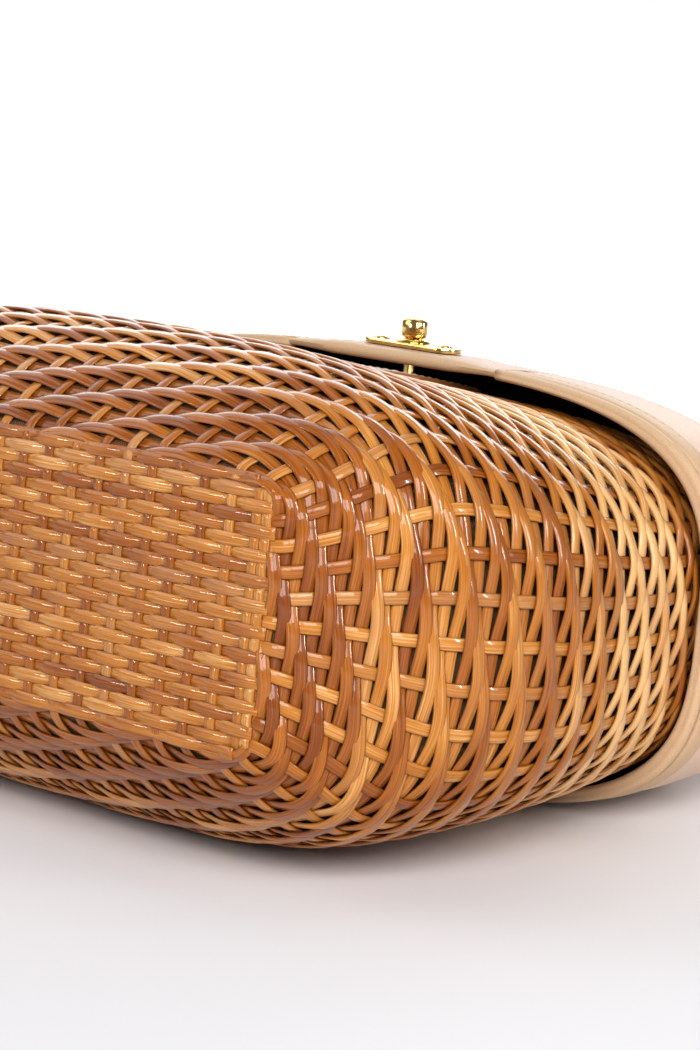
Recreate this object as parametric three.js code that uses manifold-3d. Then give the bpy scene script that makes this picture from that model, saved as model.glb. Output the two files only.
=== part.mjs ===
// Basket shoulder bag: a woven rattan basket under a leather lid with a turn lock.
// The bag is built upright in millimetres (X width, Y depth with the back at +Y, Z height above
// the base) and then laid on its back, as a bag lies on a table.

import * as THREE from 'three';
import { mergeVertices } from 'three/addons/utils/BufferGeometryUtils.js';
import Module from 'manifold-3d';

// Driving dimensions

const GAP = 0.3;
const LIE_TILT = THREE.MathUtils.degToRad(5.5);
const RING_SIDES = 56;

const BASKET_WALL = 3;
const LINING_WALL = 1;
const LINING_TOP = 156;
const LEATHER = 2;
const TAB_WALL = 1.4;

const PANEL_HALF_WIDTH = 39;
const PANEL_TOP = 160;
const PANEL_STATIONS = 13;
const PANEL_WALL = 1;

const TAB_HALF_WIDTH = 17;
const TAB_BOTTOM = 122;
const TAB_TOP = 154;
const TAB_STATIONS = 7;

const LOCK_HEIGHT = 143;
const PLATE_LENGTH = 33;
const PLATE_WIDTH = 9;
const PLATE_THICKNESS = 1.4;
const STUD_RADIUS = 2.2;
const STUD_FLATNESS = 0.4;
const STUD_SPREAD = 12.2;
const COLLAR_RADIUS = 4.4;
const COLLAR_TOP_RADIUS = 3.4;
const COLLAR_HEIGHT = 1;
const LOCK_BORE = 2.7;
const POST_RADIUS = 2;
const KNOB_LONG = 1.15;
const KNOB_SHORT = 0.82;

const STRAP_WIDTH = 14;
const STRAP_THICKNESS = 2.4;
const STRAP_STATIONS = 56;
const STRAP_END_HEIGHT = 144;
const RIVET_RADIUS = 2.8;
const RIVET_TOP_RADIUS = 2;
const RIVET_HEIGHT = 1.3;
const RIVET_HEIGHTS = [150, 159];
const ROUND_SIDES = 24;
const LEAN_STEP = 1;
const MERGE_TOLERANCE = 1e-4;

// The woven wall: half the width, the reach to the front and back, and how square its corners are.
const BASKET = [
  { height: 0, halfWidth: 100.5, front: 34, back: 34, corner: 12 },
  { height: 3, halfWidth: 103, front: 37, back: 37.5, corner: 9 },
  { height: 8, halfWidth: 107, front: 42, back: 43, corner: 6.8 },
  { height: 16, halfWidth: 113, front: 49, back: 50.5, corner: 5.2 },
  { height: 24, halfWidth: 118.5, front: 54.5, back: 57, corner: 4.2 },
  { height: 36, halfWidth: 125.5, front: 59, back: 62.5, corner: 3.5 },
  { height: 50, halfWidth: 130, front: 60, back: 64.5, corner: 3.1 },
  { height: 66, halfWidth: 131, front: 58, back: 63.5, corner: 3 },
  { height: 82, halfWidth: 129, front: 55.5, back: 62, corner: 3 },
  { height: 98, halfWidth: 125.5, front: 53, back: 60, corner: 3 },
  { height: 114, halfWidth: 121.5, front: 50.5, back: 57.5, corner: 3 },
  { height: 130, halfWidth: 116.5, front: 48.5, back: 55, corner: 3 },
  { height: 146, halfWidth: 110.5, front: 46.5, back: 53.3, corner: 3 },
  { height: 166, halfWidth: 102.5, front: 44, back: 51.4, corner: 3 },
];

// The leather lid from its edge to its top, with the same columns. Its back lies on the table, so
// the corners there differ from those in front.
const LID = [
  { height: 138.2, halfWidth: 119.2, front: 54.5, back: 58, corner: 3.4, backCorner: 3.25 },
  { height: 150, halfWidth: 118.2, front: 54.5, back: 57.5, corner: 3.4, backCorner: 3.25 },
  { height: 163, halfWidth: 115.3, front: 53.5, back: 56.5, corner: 3.4, backCorner: 3.25 },
  { height: 175, halfWidth: 111, front: 50.5, back: 55, corner: 3.3, backCorner: 3.2 },
  { height: 187, halfWidth: 104.4, front: 45.5, back: 51.5, corner: 3.2, backCorner: 3 },
  { height: 197, halfWidth: 94, front: 38, back: 45, corner: 3, backCorner: 2.8 },
  { height: 204, halfWidth: 78.5, front: 28.5, back: 36, corner: 2.7, backCorner: 2.6 },
  { height: 208, halfWidth: 55.5, front: 18, back: 25, corner: 2.5, backCorner: 2.4 },
  { height: 209.5, halfWidth: 27.5, front: 8, back: 13, corner: 2.3, backCorner: 2.2 },
];

// The rolled edge lies between two rings, and its round section runs over these stations.
const EDGE_INNER = { halfWidth: 115.6, front: 52.2, back: 55.1, corner: 3.2, backCorner: 3.2 };
const EDGE_OUTER = { halfWidth: 119.8, front: 55.3, back: 58.5, corner: 3.4, backCorner: 3.25 };
const EDGE_STATIONS = 46;
const EDGE_SECTION = [
  { across: 0, height: 135.7 },
  { across: 0.14, height: 137.3 },
  { across: 0.5, height: 137.9 },
  { across: 0.86, height: 137.3 },
  { across: 1, height: 135.7 },
  { across: 0.86, height: 134.1 },
  { across: 0.5, height: 133.5 },
  { across: 0.14, height: 134.1 },
];

// The front panel's rolled edge, measured outwards from the lid's front.
const PANEL_ROLL = [
  { out: -1.5, height: 137.8 },
  { out: -2.6, height: 136.6 },
  { out: -2.7, height: 134.8 },
  { out: -1.9, height: 133.4 },
  { out: -0.5, height: 132.9 },
  { out: 0.8, height: 133.7 },
  { out: 1.4, height: 135.8 },
];
const PANEL_HEIGHTS = [138.6, 150];

// The strap's free stretch from the right of the lid to the middle of its loop on the table.
const STRAP_ROUTE = [
  { across: 112.4, height: 182, lift: 44 },
  { across: 111.5, height: 200, lift: 36 },
  { across: 115, height: 222, lift: 20 },
  { across: 120, height: 248, lift: 6.5 },
  { across: 119, height: 280, lift: 0.9 },
  { across: 103, height: 312, lift: 0.5 },
  { across: 71, height: 337, lift: 0.5 },
  { across: 33, height: 349, lift: 0.5 },
];
const STRAP_LOOP_END = 352;

// The knob's half profile: distance from its axis and height above the plate.
const KNOB_PROFILE = [
  { radius: 0, height: 0.3 },
  { radius: 1.9, height: 0.3 },
  { radius: 1.9, height: 1.2 },
  { radius: 2.9, height: 1.5 },
  { radius: 3.4, height: 2.2 },
  { radius: 3.6, height: 3.6 },
  { radius: 3.5, height: 5.2 },
  { radius: 3.1, height: 6.2 },
  { radius: 2.3, height: 6.7 },
  { radius: 0, height: 6.8 },
];

// Colours

const RATTAN = { color: 0xb5712f, roughness: 0.35, metalness: 0 };
const DARK_CLOTH = { color: 0x231911, roughness: 0.95, metalness: 0 };
const BEIGE_LEATHER = { color: 0xcfa57e, roughness: 0.5, metalness: 0 };
const BROWN_LEATHER = { color: 0x9a5a26, roughness: 0.5, metalness: 0 };
const GOLD = { color: 0xd8b25a, roughness: 0.18, metalness: 1 };

// Sections

/** A cosine or sine pulled towards a square corner. */
function bend(value, corner) {
  return Math.sign(value) * Math.abs(value) ** (2 / corner);
}

/** One point of a section at a turn around the bag, held above the table by the limit. */
function sectionPoint(section, turn, limit = Infinity) {
  const halfDepth = (section.front + section.back) / 2;
  const centre = (section.back - section.front) / 2;
  const corner = Math.sin(turn) > 0 ? section.backCorner ?? section.corner : section.corner;
  const x = section.halfWidth * bend(Math.cos(turn), corner);
  const y = centre + halfDepth * bend(Math.sin(turn), corner);
  return new THREE.Vector3(x, Math.min(y, limit), section.height);
}

/** The closed ring of a section. */
function ring(section, limit = Infinity) {
  const step = (2 * Math.PI) / RING_SIDES;
  return Array.from({ length: RING_SIDES }, (_, i) => sectionPoint(section, (i + 0.5) * step, limit));
}

/** A section moved inwards by an inset and down by a drop. */
function shrink(section, inset, drop = 0) {
  return {
    ...section,
    height: section.height - drop,
    halfWidth: section.halfWidth - inset,
    front: section.front - inset,
    back: section.back - inset,
  };
}

/** The section of a table at any height. */
function sectionAt(table, height) {
  const last = table.length - 2;
  const found = table.findIndex((row, i) => i < table.length - 1 && height <= table[i + 1].height);
  const i = found < 0 ? last : found;
  const share = (height - table[i].height) / (table[i + 1].height - table[i].height);
  const mix = (key) => THREE.MathUtils.lerp(table[i][key], table[i + 1][key], share);
  return {
    height,
    halfWidth: mix('halfWidth'),
    front: mix('front'),
    back: mix('back'),
    corner: mix('corner'),
  };
}

/** Where a table's front face lies at a place across the bag. */
function frontAt(table, across, height) {
  const section = sectionAt(table, height);
  const halfDepth = (section.front + section.back) / 2;
  const centre = (section.back - section.front) / 2;
  const share = Math.abs(across / section.halfWidth) ** section.corner;
  return centre - halfDepth * (1 - share) ** (1 / section.corner);
}

// The table under the lying bag

const reachDown = (point) => point.z * Math.sin(LIE_TILT) + point.y * Math.cos(LIE_TILT);
const TABLE_DROP = Math.max(...BASKET.flatMap((section) => ring(section).map(reachDown)));

/** How far the table lies behind the bag's axis at a height. */
function tableDepth(height) {
  return (TABLE_DROP - height * Math.sin(LIE_TILT)) / Math.cos(LIE_TILT);
}

// Solids

/** Six times the volume that a geometry's faces close in, negative where they face inwards. */
function signedVolume(positions, faces) {
  let sum = 0;
  for (const [a, b, c] of faces) {
    sum += positions[a].dot(new THREE.Vector3().crossVectors(positions[b], positions[c]));
  }
  return sum;
}

/** The triangles of a flat loop. */
function capFaces(loop, start) {
  const normal = new THREE.Vector3();
  loop.forEach((point, i) => {
    normal.add(new THREE.Vector3().crossVectors(point, loop[(i + 1) % loop.length]));
  });
  const turn = new THREE.Quaternion().setFromUnitVectors(normal.normalize(), new THREE.Vector3(0, 0, 1));
  const flat = loop.map((point) => {
    const turned = point.clone().applyQuaternion(turn);
    return new THREE.Vector2(turned.x, turned.y);
  });
  return THREE.ShapeUtils.triangulateShape(flat, []).map((face) => face.map((i) => i + start));
}

/** A closed solid through loops with equal point counts, with a flat cap on its first and last loop. */
function loft(loops) {
  const count = loops[0].length;
  const positions = loops.flat();
  const faces = [];
  for (let band = 0; band < loops.length - 1; band += 1) {
    for (let i = 0; i < count; i += 1) {
      const a = band * count + i;
      const b = band * count + ((i + 1) % count);
      faces.push([a, b, b + count], [a, b + count, a + count]);
    }
  }
  const lastStart = (loops.length - 1) * count;
  faces.push(...capFaces(loops[0], 0).map(([a, b, c]) => [a, c, b]));
  faces.push(...capFaces(loops[loops.length - 1], lastStart));
  const inwards = signedVolume(positions, faces) < 0;
  const geometry = new THREE.BufferGeometry().setFromPoints(positions);
  geometry.setIndex(faces.flatMap(([a, b, c]) => (inwards ? [a, c, b] : [a, b, c])));
  return geometry;
}

const wasm = await Module();
wasm.setup();

/** A geometry as a solid for joining and cutting. */
function toSolid(geometry) {
  const bare = geometry.clone();
  bare.deleteAttribute('normal');
  bare.deleteAttribute('uv');
  const merged = mergeVertices(bare, MERGE_TOLERANCE);
  return new wasm.Manifold(
    new wasm.Mesh({
      numProp: 3,
      vertProperties: new Float32Array(merged.attributes.position.array),
      triVerts: new Uint32Array(merged.index.array),
    }),
  );
}

/** A joined or cut solid as a geometry. */
function toGeometry(solid) {
  const mesh = solid.getMesh();
  const geometry = new THREE.BufferGeometry();
  geometry.setAttribute('position', new THREE.BufferAttribute(new Float32Array(mesh.vertProperties), 3));
  geometry.setIndex(new THREE.BufferAttribute(new Uint32Array(mesh.triVerts), 1));
  return geometry;
}

/** The round bore of the lock, along the depth of the bag. */
function lockBore() {
  const bore = new THREE.CylinderGeometry(LOCK_BORE, LOCK_BORE, LID[0].front, ROUND_SIDES);
  return toSolid(bore.translate(0, -LID[0].front, LOCK_HEIGHT));
}

/** A named mesh with a material of its own. */
function piece(name, geometry, finish) {
  geometry.computeVertexNormals();
  const mesh = new THREE.Mesh(geometry, new THREE.MeshStandardMaterial({ ...finish, flatShading: true }));
  mesh.name = name;
  return mesh;
}

// Basket

function basketBody() {
  const outer = BASKET.map((section) => ring(section));
  const inner = BASKET.slice(1).map((section) => ring(shrink(section, BASKET_WALL)));
  return loft([...outer, ...inner.reverse()]);
}

function lining() {
  const rows = BASKET.slice(1).filter((section) => section.height < LINING_TOP);
  rows.push(sectionAt(BASKET, LINING_TOP));
  const outside = BASKET_WALL + GAP;
  const outer = rows.map((section) => ring(shrink(section, outside, -GAP)));
  const inside = rows.map((section, i) => {
    const rise = i === rows.length - 1 ? GAP : GAP + LINING_WALL;
    return ring(shrink(section, outside + LINING_WALL, -rise));
  });
  return loft([...outer, ...inside.reverse()]);
}

// Lid

function lidShell() {
  const outer = LID.map((section) => ring(section, tableDepth(section.height)));
  const inner = LID.map((section, i) => {
    const inside = shrink(section, LEATHER, i === 0 ? 0 : LEATHER);
    return ring(inside, tableDepth(inside.height) - LEATHER);
  });
  const shell = toSolid(loft([...outer.reverse(), ...inner]));
  return toGeometry(shell.subtract(lockBore()));
}

function lidBinding() {
  const seam = PANEL_HALF_WIDTH + GAP;
  const start = Math.acos((seam / EDGE_INNER.halfWidth) ** (EDGE_INNER.corner / 2));
  const sweep = Math.PI + 2 * start;
  const loops = [];
  for (let i = 0; i <= EDGE_STATIONS; i += 1) {
    const turn = (sweep * i) / EDGE_STATIONS - start;
    const loop = EDGE_SECTION.map(({ across, height }) => {
      const limit = tableDepth(height);
      const inner = sectionPoint({ ...EDGE_INNER, height }, turn, limit);
      const outer = sectionPoint({ ...EDGE_OUTER, height }, turn, limit);
      return inner.lerp(outer, across);
    });
    loops.push(loop);
  }
  return loft(loops);
}

function frontPanel() {
  const loops = [];
  for (let i = 0; i < PANEL_STATIONS; i += 1) {
    const across = THREE.MathUtils.lerp(-PANEL_HALF_WIDTH, PANEL_HALF_WIDTH, i / (PANEL_STATIONS - 1));
    const place = (out, height) => {
      const onLid = Math.max(height, LID[0].height);
      return new THREE.Vector3(across, frontAt(LID, across, onLid) - out, height);
    };
    const heights = [...PANEL_HEIGHTS, PANEL_TOP];
    const inner = heights.map((height) => place(GAP, height)).reverse();
    const roll = PANEL_ROLL.map(({ out, height }) => place(out, height));
    const outer = heights.map((height) => place(GAP + PANEL_WALL, height));
    loops.push([...inner, place(GAP, LID[0].height - GAP), ...roll, ...outer]);
  }
  return toGeometry(toSolid(loft(loops)).subtract(lockBore()));
}

// Lock

const PANEL_FACE = LID[0].front + GAP + PANEL_WALL;
const PLATE_BACK = PANEL_FACE + GAP;
const PLATE_FACE = PLATE_BACK + PLATE_THICKNESS;

function lockTab() {
  const loops = [];
  for (let i = 0; i < TAB_STATIONS; i += 1) {
    const across = THREE.MathUtils.lerp(-TAB_HALF_WIDTH, TAB_HALF_WIDTH, i / (TAB_STATIONS - 1));
    const rows = BASKET.map((section) => section.height);
    const between = rows.filter((height) => height > TAB_BOTTOM && height < TAB_TOP);
    const heights = [TAB_BOTTOM, ...between, TAB_TOP];
    const place = (out) => (height) => {
      return new THREE.Vector3(across, frontAt(BASKET, across, height) - out, height);
    };
    const inner = heights.map(place(GAP));
    const outer = heights.map(place(GAP + TAB_WALL)).reverse();
    loops.push([...inner, ...outer]);
  }
  return loft(loops);
}

/** Turns a piece made along +Z so that it points to the front, on the lock's axis. */
function onLockAxis(geometry, reach) {
  return geometry.rotateX(Math.PI / 2).translate(0, -reach, LOCK_HEIGHT);
}

function lockPost() {
  const seat = -frontAt(BASKET, 0, LOCK_HEIGHT) + GAP + TAB_WALL + GAP;
  const length = PLATE_FACE - seat;
  const post = new THREE.CylinderGeometry(POST_RADIUS, POST_RADIUS, length, ROUND_SIDES);
  return onLockAxis(post.rotateX(Math.PI / 2), seat + length / 2);
}

function lockPlate() {
  const end = PLATE_WIDTH / 2;
  const straight = PLATE_LENGTH / 2 - end;
  const outline = new THREE.Shape();
  outline.absarc(straight, 0, end, -Math.PI / 2, Math.PI / 2);
  outline.absarc(-straight, 0, end, Math.PI / 2, (3 * Math.PI) / 2);
  const plate = new THREE.ExtrudeGeometry(outline, {
    depth: PLATE_THICKNESS,
    bevelEnabled: false,
    curveSegments: ROUND_SIDES / 2,
  });
  const collar = new THREE.CylinderGeometry(COLLAR_TOP_RADIUS, COLLAR_RADIUS, COLLAR_HEIGHT * 2, ROUND_SIDES);
  collar.rotateX(Math.PI / 2).translate(0, 0, PLATE_THICKNESS);
  const bore = new THREE.CylinderGeometry(LOCK_BORE, LOCK_BORE, LID[0].front, ROUND_SIDES);
  let solid = toSolid(plate).add(toSolid(collar));
  for (const side of [-1, 1]) {
    const stud = new THREE.SphereGeometry(STUD_RADIUS, ROUND_SIDES / 2, ROUND_SIDES / 3);
    stud.scale(1, 1, STUD_FLATNESS).translate(side * STUD_SPREAD, 0, PLATE_THICKNESS);
    solid = solid.add(toSolid(stud));
  }
  solid = solid.subtract(toSolid(bore.rotateX(Math.PI / 2)));
  return onLockAxis(toGeometry(solid), PLATE_BACK);
}

function lockKnob() {
  const profile = KNOB_PROFILE.map(({ radius, height }) => new THREE.Vector2(radius, height));
  const knob = new THREE.LatheGeometry(profile, ROUND_SIDES).rotateX(Math.PI / 2);
  return onLockAxis(toGeometry(toSolid(knob.scale(KNOB_LONG, KNOB_SHORT, 1))), PLATE_FACE);
}

// Strap

/** The lid's end face at a height: how far out it lies and how much it leans. */
function lidEnd(height) {
  const here = sectionAt(LID, height).halfWidth;
  const above = sectionAt(LID, height + LEAN_STEP).halfWidth;
  return { across: here, lean: Math.atan2(here - above, LEAN_STEP) };
}

/** The strap's middle line, from the right of the lid round to the left. */
function strapCurve() {
  const half = [STRAP_END_HEIGHT, LID[1].height, LID[2].height].map((height) => {
    const { across, lean } = lidEnd(height - LEAN_STEP);
    const out = (GAP + STRAP_THICKNESS / 2) / Math.cos(lean);
    return new THREE.Vector3(across + out, 0, height);
  });
  const onTable = ({ across, height, lift }) => {
    return new THREE.Vector3(across, tableDepth(height) - lift - STRAP_WIDTH / 2, height);
  };
  half.push(...STRAP_ROUTE.map(onTable));
  const mirrored = half.map((point) => new THREE.Vector3(-point.x, point.y, point.z)).reverse();
  const middle = onTable({ ...STRAP_ROUTE.at(-1), across: 0, height: STRAP_LOOP_END });
  return new THREE.CatmullRomCurve3([...half, middle, ...mirrored]);
}

function strap() {
  const curve = strapCurve();
  const depth = new THREE.Vector3(0, 1, 0);
  const loops = curve.getSpacedPoints(STRAP_STATIONS).map((point, i) => {
    const along = curve.getTangentAt(i / STRAP_STATIONS);
    const side = new THREE.Vector3().crossVectors(depth, along).normalize();
    const corner = (out, down) => {
      return point
        .clone()
        .addScaledVector(side, (out * STRAP_THICKNESS) / 2)
        .addScaledVector(depth, (down * STRAP_WIDTH) / 2);
    };
    return [corner(1, 1), corner(1, -1), corner(-1, -1), corner(-1, 1)];
  });
  return loft(loops);
}

function strapRivet(side, height) {
  const { across, lean } = lidEnd(height);
  const out = (2 * GAP + STRAP_THICKNESS + RIVET_HEIGHT / 2) / Math.cos(lean);
  const rivet = new THREE.CylinderGeometry(RIVET_TOP_RADIUS, RIVET_RADIUS, RIVET_HEIGHT, ROUND_SIDES / 2);
  rivet.rotateZ(-Math.PI / 2).rotateY(-lean).translate(across + out, 0, height);
  return side < 0 ? rivet.rotateZ(Math.PI) : rivet;
}

// Assembly

const upright = new THREE.Group();
upright.add(
  piece('basket_body', basketBody(), RATTAN),
  piece('lining', lining(), DARK_CLOTH),
  piece('lid_shell', lidShell(), BEIGE_LEATHER),
  piece('lid_binding', lidBinding(), BEIGE_LEATHER),
  piece('front_panel', frontPanel(), BEIGE_LEATHER),
  piece('lock_tab', lockTab(), BROWN_LEATHER),
  piece('lock_post', lockPost(), GOLD),
  piece('lock_plate', lockPlate(), GOLD),
  piece('lock_knob', lockKnob(), GOLD),
  piece('strap', strap(), BEIGE_LEATHER),
);
for (const [label, side] of [['right', 1], ['left', -1]]) {
  RIVET_HEIGHTS.forEach((height, i) => {
    upright.add(piece(`strap_rivet_${label}_${i + 1}`, strapRivet(side, height), GOLD));
  });
}

// The bag lies on its back with its base towards -Y, in the middle of the table.
upright.rotation.x = -(Math.PI / 2 + LIE_TILT);
const bag = new THREE.Group();
bag.add(upright);
const box = new THREE.Box3().setFromObject(bag, true);
const middle = box.getCenter(new THREE.Vector3());
upright.position.set(-middle.x, -middle.y, -box.min.z);

export default bag;
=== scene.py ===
import logging
import math
from dataclasses import dataclass, field, replace
from enum import Enum
from typing import Sequence

import bpy
import numpy as np
from mathutils import Matrix, Vector


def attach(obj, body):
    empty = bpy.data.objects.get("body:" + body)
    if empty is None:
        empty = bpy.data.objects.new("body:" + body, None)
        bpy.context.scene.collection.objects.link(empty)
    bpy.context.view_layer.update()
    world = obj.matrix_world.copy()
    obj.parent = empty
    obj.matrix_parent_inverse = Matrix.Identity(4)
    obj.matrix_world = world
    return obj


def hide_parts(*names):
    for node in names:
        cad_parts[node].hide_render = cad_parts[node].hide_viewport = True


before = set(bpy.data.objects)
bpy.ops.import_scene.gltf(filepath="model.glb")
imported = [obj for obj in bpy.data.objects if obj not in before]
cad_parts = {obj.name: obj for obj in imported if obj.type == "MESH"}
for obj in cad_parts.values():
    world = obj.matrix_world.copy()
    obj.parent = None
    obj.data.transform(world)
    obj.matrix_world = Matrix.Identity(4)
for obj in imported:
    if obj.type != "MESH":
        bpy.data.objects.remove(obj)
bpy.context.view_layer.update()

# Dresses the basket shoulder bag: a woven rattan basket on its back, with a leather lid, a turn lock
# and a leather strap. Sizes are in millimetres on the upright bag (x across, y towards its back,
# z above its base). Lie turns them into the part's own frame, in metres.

MM = 0.001
SEED = 23
FINE_TURNS = 4001
log = logging.getLogger("basket_bag")

Array = np.ndarray
Material = bpy.types.Material
Piece = bpy.types.Object
Socket = bpy.types.NodeSocket
Pair = tuple[float, float]
Pairs = tuple[Pair, ...]
Triple = tuple[float, float, float]
Colour = Triple


class Body(Enum):
    """The moving bodies of the part."""

    BAG = "bag"
    KNOB = "knob"


class Slot(Enum):
    """The record's material slots."""

    RATTAN = "rattan"
    CLOTH = "dark_cloth"
    BEIGE = "beige_leather"
    BROWN = "brown_leather"
    GOLD = "gold"


class Weave(Enum):
    """How many crossings one turn of a weave takes."""

    PLAIN = 2.0
    TWILL = 4.0


@dataclass(frozen=True)
class Lie:
    """How the upright bag lies on the table.

    Attributes:
        tilt_deg: How far the bag's axis dips towards the lid.
        base_y: Where the middle of the base lies along the table.
        base_z: How high the middle of the base lies.
    """

    tilt_deg: float = 5.5
    base_y: float = -173.129
    base_z: float = 69.528

    def turn(self, vectors: Array) -> Array:
        """Turns upright directions into the part's frame.

        Args:
            vectors: Rows of x, y, z.

        Returns:
            The turned rows.
        """
        cos, sin = math.cos(math.radians(self.tilt_deg)), math.sin(math.radians(self.tilt_deg))
        x, y, z = np.moveaxis(np.asarray(vectors, float), -1, 0)
        return np.stack([x, z * cos - y * sin, -z * sin - y * cos], axis=-1)

    def place(self, points: Array) -> Array:
        """Moves upright points in millimetres to the part's frame in metres."""
        return (self.turn(points) + np.array([0.0, self.base_y, self.base_z])) * MM

    def table_depth(self, height: Array) -> Array:
        """How far the table lies behind the bag's axis at a height."""
        tilt = math.radians(self.tilt_deg)
        return (self.base_z - np.asarray(height, float) * math.sin(tilt)) / math.cos(tilt)


LIE = Lie()


def unit(vectors: Array) -> Array:
    """Rows scaled to a length of one."""
    return vectors / np.maximum(np.linalg.norm(vectors, axis=-1, keepdims=True), 1e-12)


def lengths_along(line: Array) -> Array:
    """How far along a line each of its points lies."""
    return np.concatenate([[0.0], np.cumsum(np.linalg.norm(np.diff(line, axis=0), axis=1))])


def ease(share: float) -> float:
    """A soft step from 0 to 1."""
    held = min(max(share, 0.0), 1.0)
    return held * held * (3 - 2 * held)


def smooth_table(rows: Array, at: Array) -> Array:
    """Columns of a table between its rows, on a smooth curve through them.

    Args:
        rows: A table whose first column rises from row to row.
        at: Where to read it, in units of the first column.

    Returns:
        One row of the other columns for each place.
    """
    x, y = rows[:, 0], rows[:, 1:]
    slope = np.gradient(y, x, axis=0)
    i = np.clip(np.searchsorted(x, at, side="right") - 1, 0, len(x) - 2)
    span = (x[i + 1] - x[i])[..., None]
    t = np.clip((np.asarray(at) - x[i])[..., None] / span, 0.0, 1.0)
    rise, fall = t * t * (3 - 2 * t), 1 - t * t * (3 - 2 * t)
    start, end = t * (1 - t) ** 2, t * t * (t - 1)
    return fall * y[i] + rise * y[i + 1] + span * (start * slope[i] + end * slope[i + 1])


@dataclass(frozen=True)
class Section:
    """One level of a lofted form.

    Attributes:
        height: Its height above the base.
        half_width: Half its width.
        front: Its reach to the front.
        back: Its reach to the back.
        corner: How square its front corners are.
        back_corner: How square its back corners are.
    """

    height: float
    half_width: float
    front: float
    back: float
    corner: float
    back_corner: float


@dataclass(frozen=True)
class Loft:
    """A form that runs smoothly through its sections."""

    sections: tuple[Section, ...]

    def columns(self, height: Array) -> Array:
        """Half width, front, back and the two corners at each height."""
        rows = [[s.height, s.half_width, s.front, s.back, s.corner, s.back_corner] for s in self.sections]
        return np.moveaxis(smooth_table(np.array(rows), np.asarray(height, float)), -1, 0)

    def points(self, height: Array, turn: Array, out: Array = 0.0) -> Array:
        """Points on the form, or beside it.

        Args:
            height: Heights of the points, within the form.
            turn: Turns round the bag in radians, with the right end at 0 and the back at a quarter.
            out: How far outside the form they lie.

        Returns:
            Upright points.
        """
        half, front, back, corner, back_corner = self.columns(height)
        cos, sin = np.cos(turn), np.sin(turn)
        square = np.where(sin > 0, back_corner, corner)
        x = (half + out) * np.sign(cos) * np.abs(cos) ** (2 / square)
        depth = (front + back) / 2 + out
        y = (back - front) / 2 + depth * np.sign(sin) * np.abs(sin) ** (2 / square)
        return np.stack(np.broadcast_arrays(x, y, height), axis=-1)

    def front_at(self, across: Array, height: Array) -> Array:
        """Where the front face lies at places across the form.

        Args:
            across: Places across, within the form.
            height: Their heights.

        Returns:
            How far towards the back the face lies, below 0 at the front.
        """
        half, front, back, corner, _ = self.columns(height)
        share = np.clip(np.abs(across / half), 0, 1) ** corner
        return (back - front) / 2 - (front + back) / 2 * (1 - share) ** (1 / corner)


def same_corners(*rows: tuple[float, float, float, float, float]) -> tuple[Section, ...]:
    """Sections whose front and back corners are alike."""
    return tuple(Section(*row, row[-1]) for row in rows)


BASKET = Loft(same_corners(
    (0, 100.5, 34, 34, 12),
    (3, 103, 37, 37.5, 9),
    (8, 107, 42, 43, 6.8),
    (16, 113, 49, 50.5, 5.2),
    (24, 118.5, 54.5, 57, 4.2),
    (36, 125.5, 59, 62.5, 3.5),
    (50, 130, 60, 64.5, 3.1),
    (66, 131, 58, 63.5, 3),
    (82, 129, 55.5, 62, 3),
    (98, 125.5, 53, 60, 3),
    (114, 121.5, 50.5, 57.5, 3),
    (130, 116.5, 48.5, 55, 3),
    (146, 110.5, 46.5, 53.3, 3),
    (166, 102.5, 44, 51.4, 3),
))
LID = Loft((
    Section(138.2, 119.2, 54.5, 58, 3.4, 3.25),
    Section(150, 118.2, 54.5, 57.5, 3.4, 3.25),
    Section(163, 115.3, 53.5, 56.5, 3.4, 3.25),
    Section(175, 111, 50.5, 55, 3.3, 3.2),
    Section(187, 104.4, 45.5, 51.5, 3.2, 3),
    Section(197, 94, 38, 45, 3, 2.8),
    Section(204, 78.5, 28.5, 36, 2.7, 2.6),
    Section(208, 55.5, 18, 25, 2.5, 2.4),
    Section(209.5, 27.5, 8, 13, 2.3, 2.2),
))


def link(name: str, data: bpy.types.ID) -> Piece:
    """Adds an object to the scene.

    Args:
        name: The object's name.
        data: Its mesh, camera or light.

    Returns:
        The object.
    """
    piece = bpy.data.objects.new(name, data)
    bpy.context.collection.objects.link(piece)
    return piece


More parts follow.
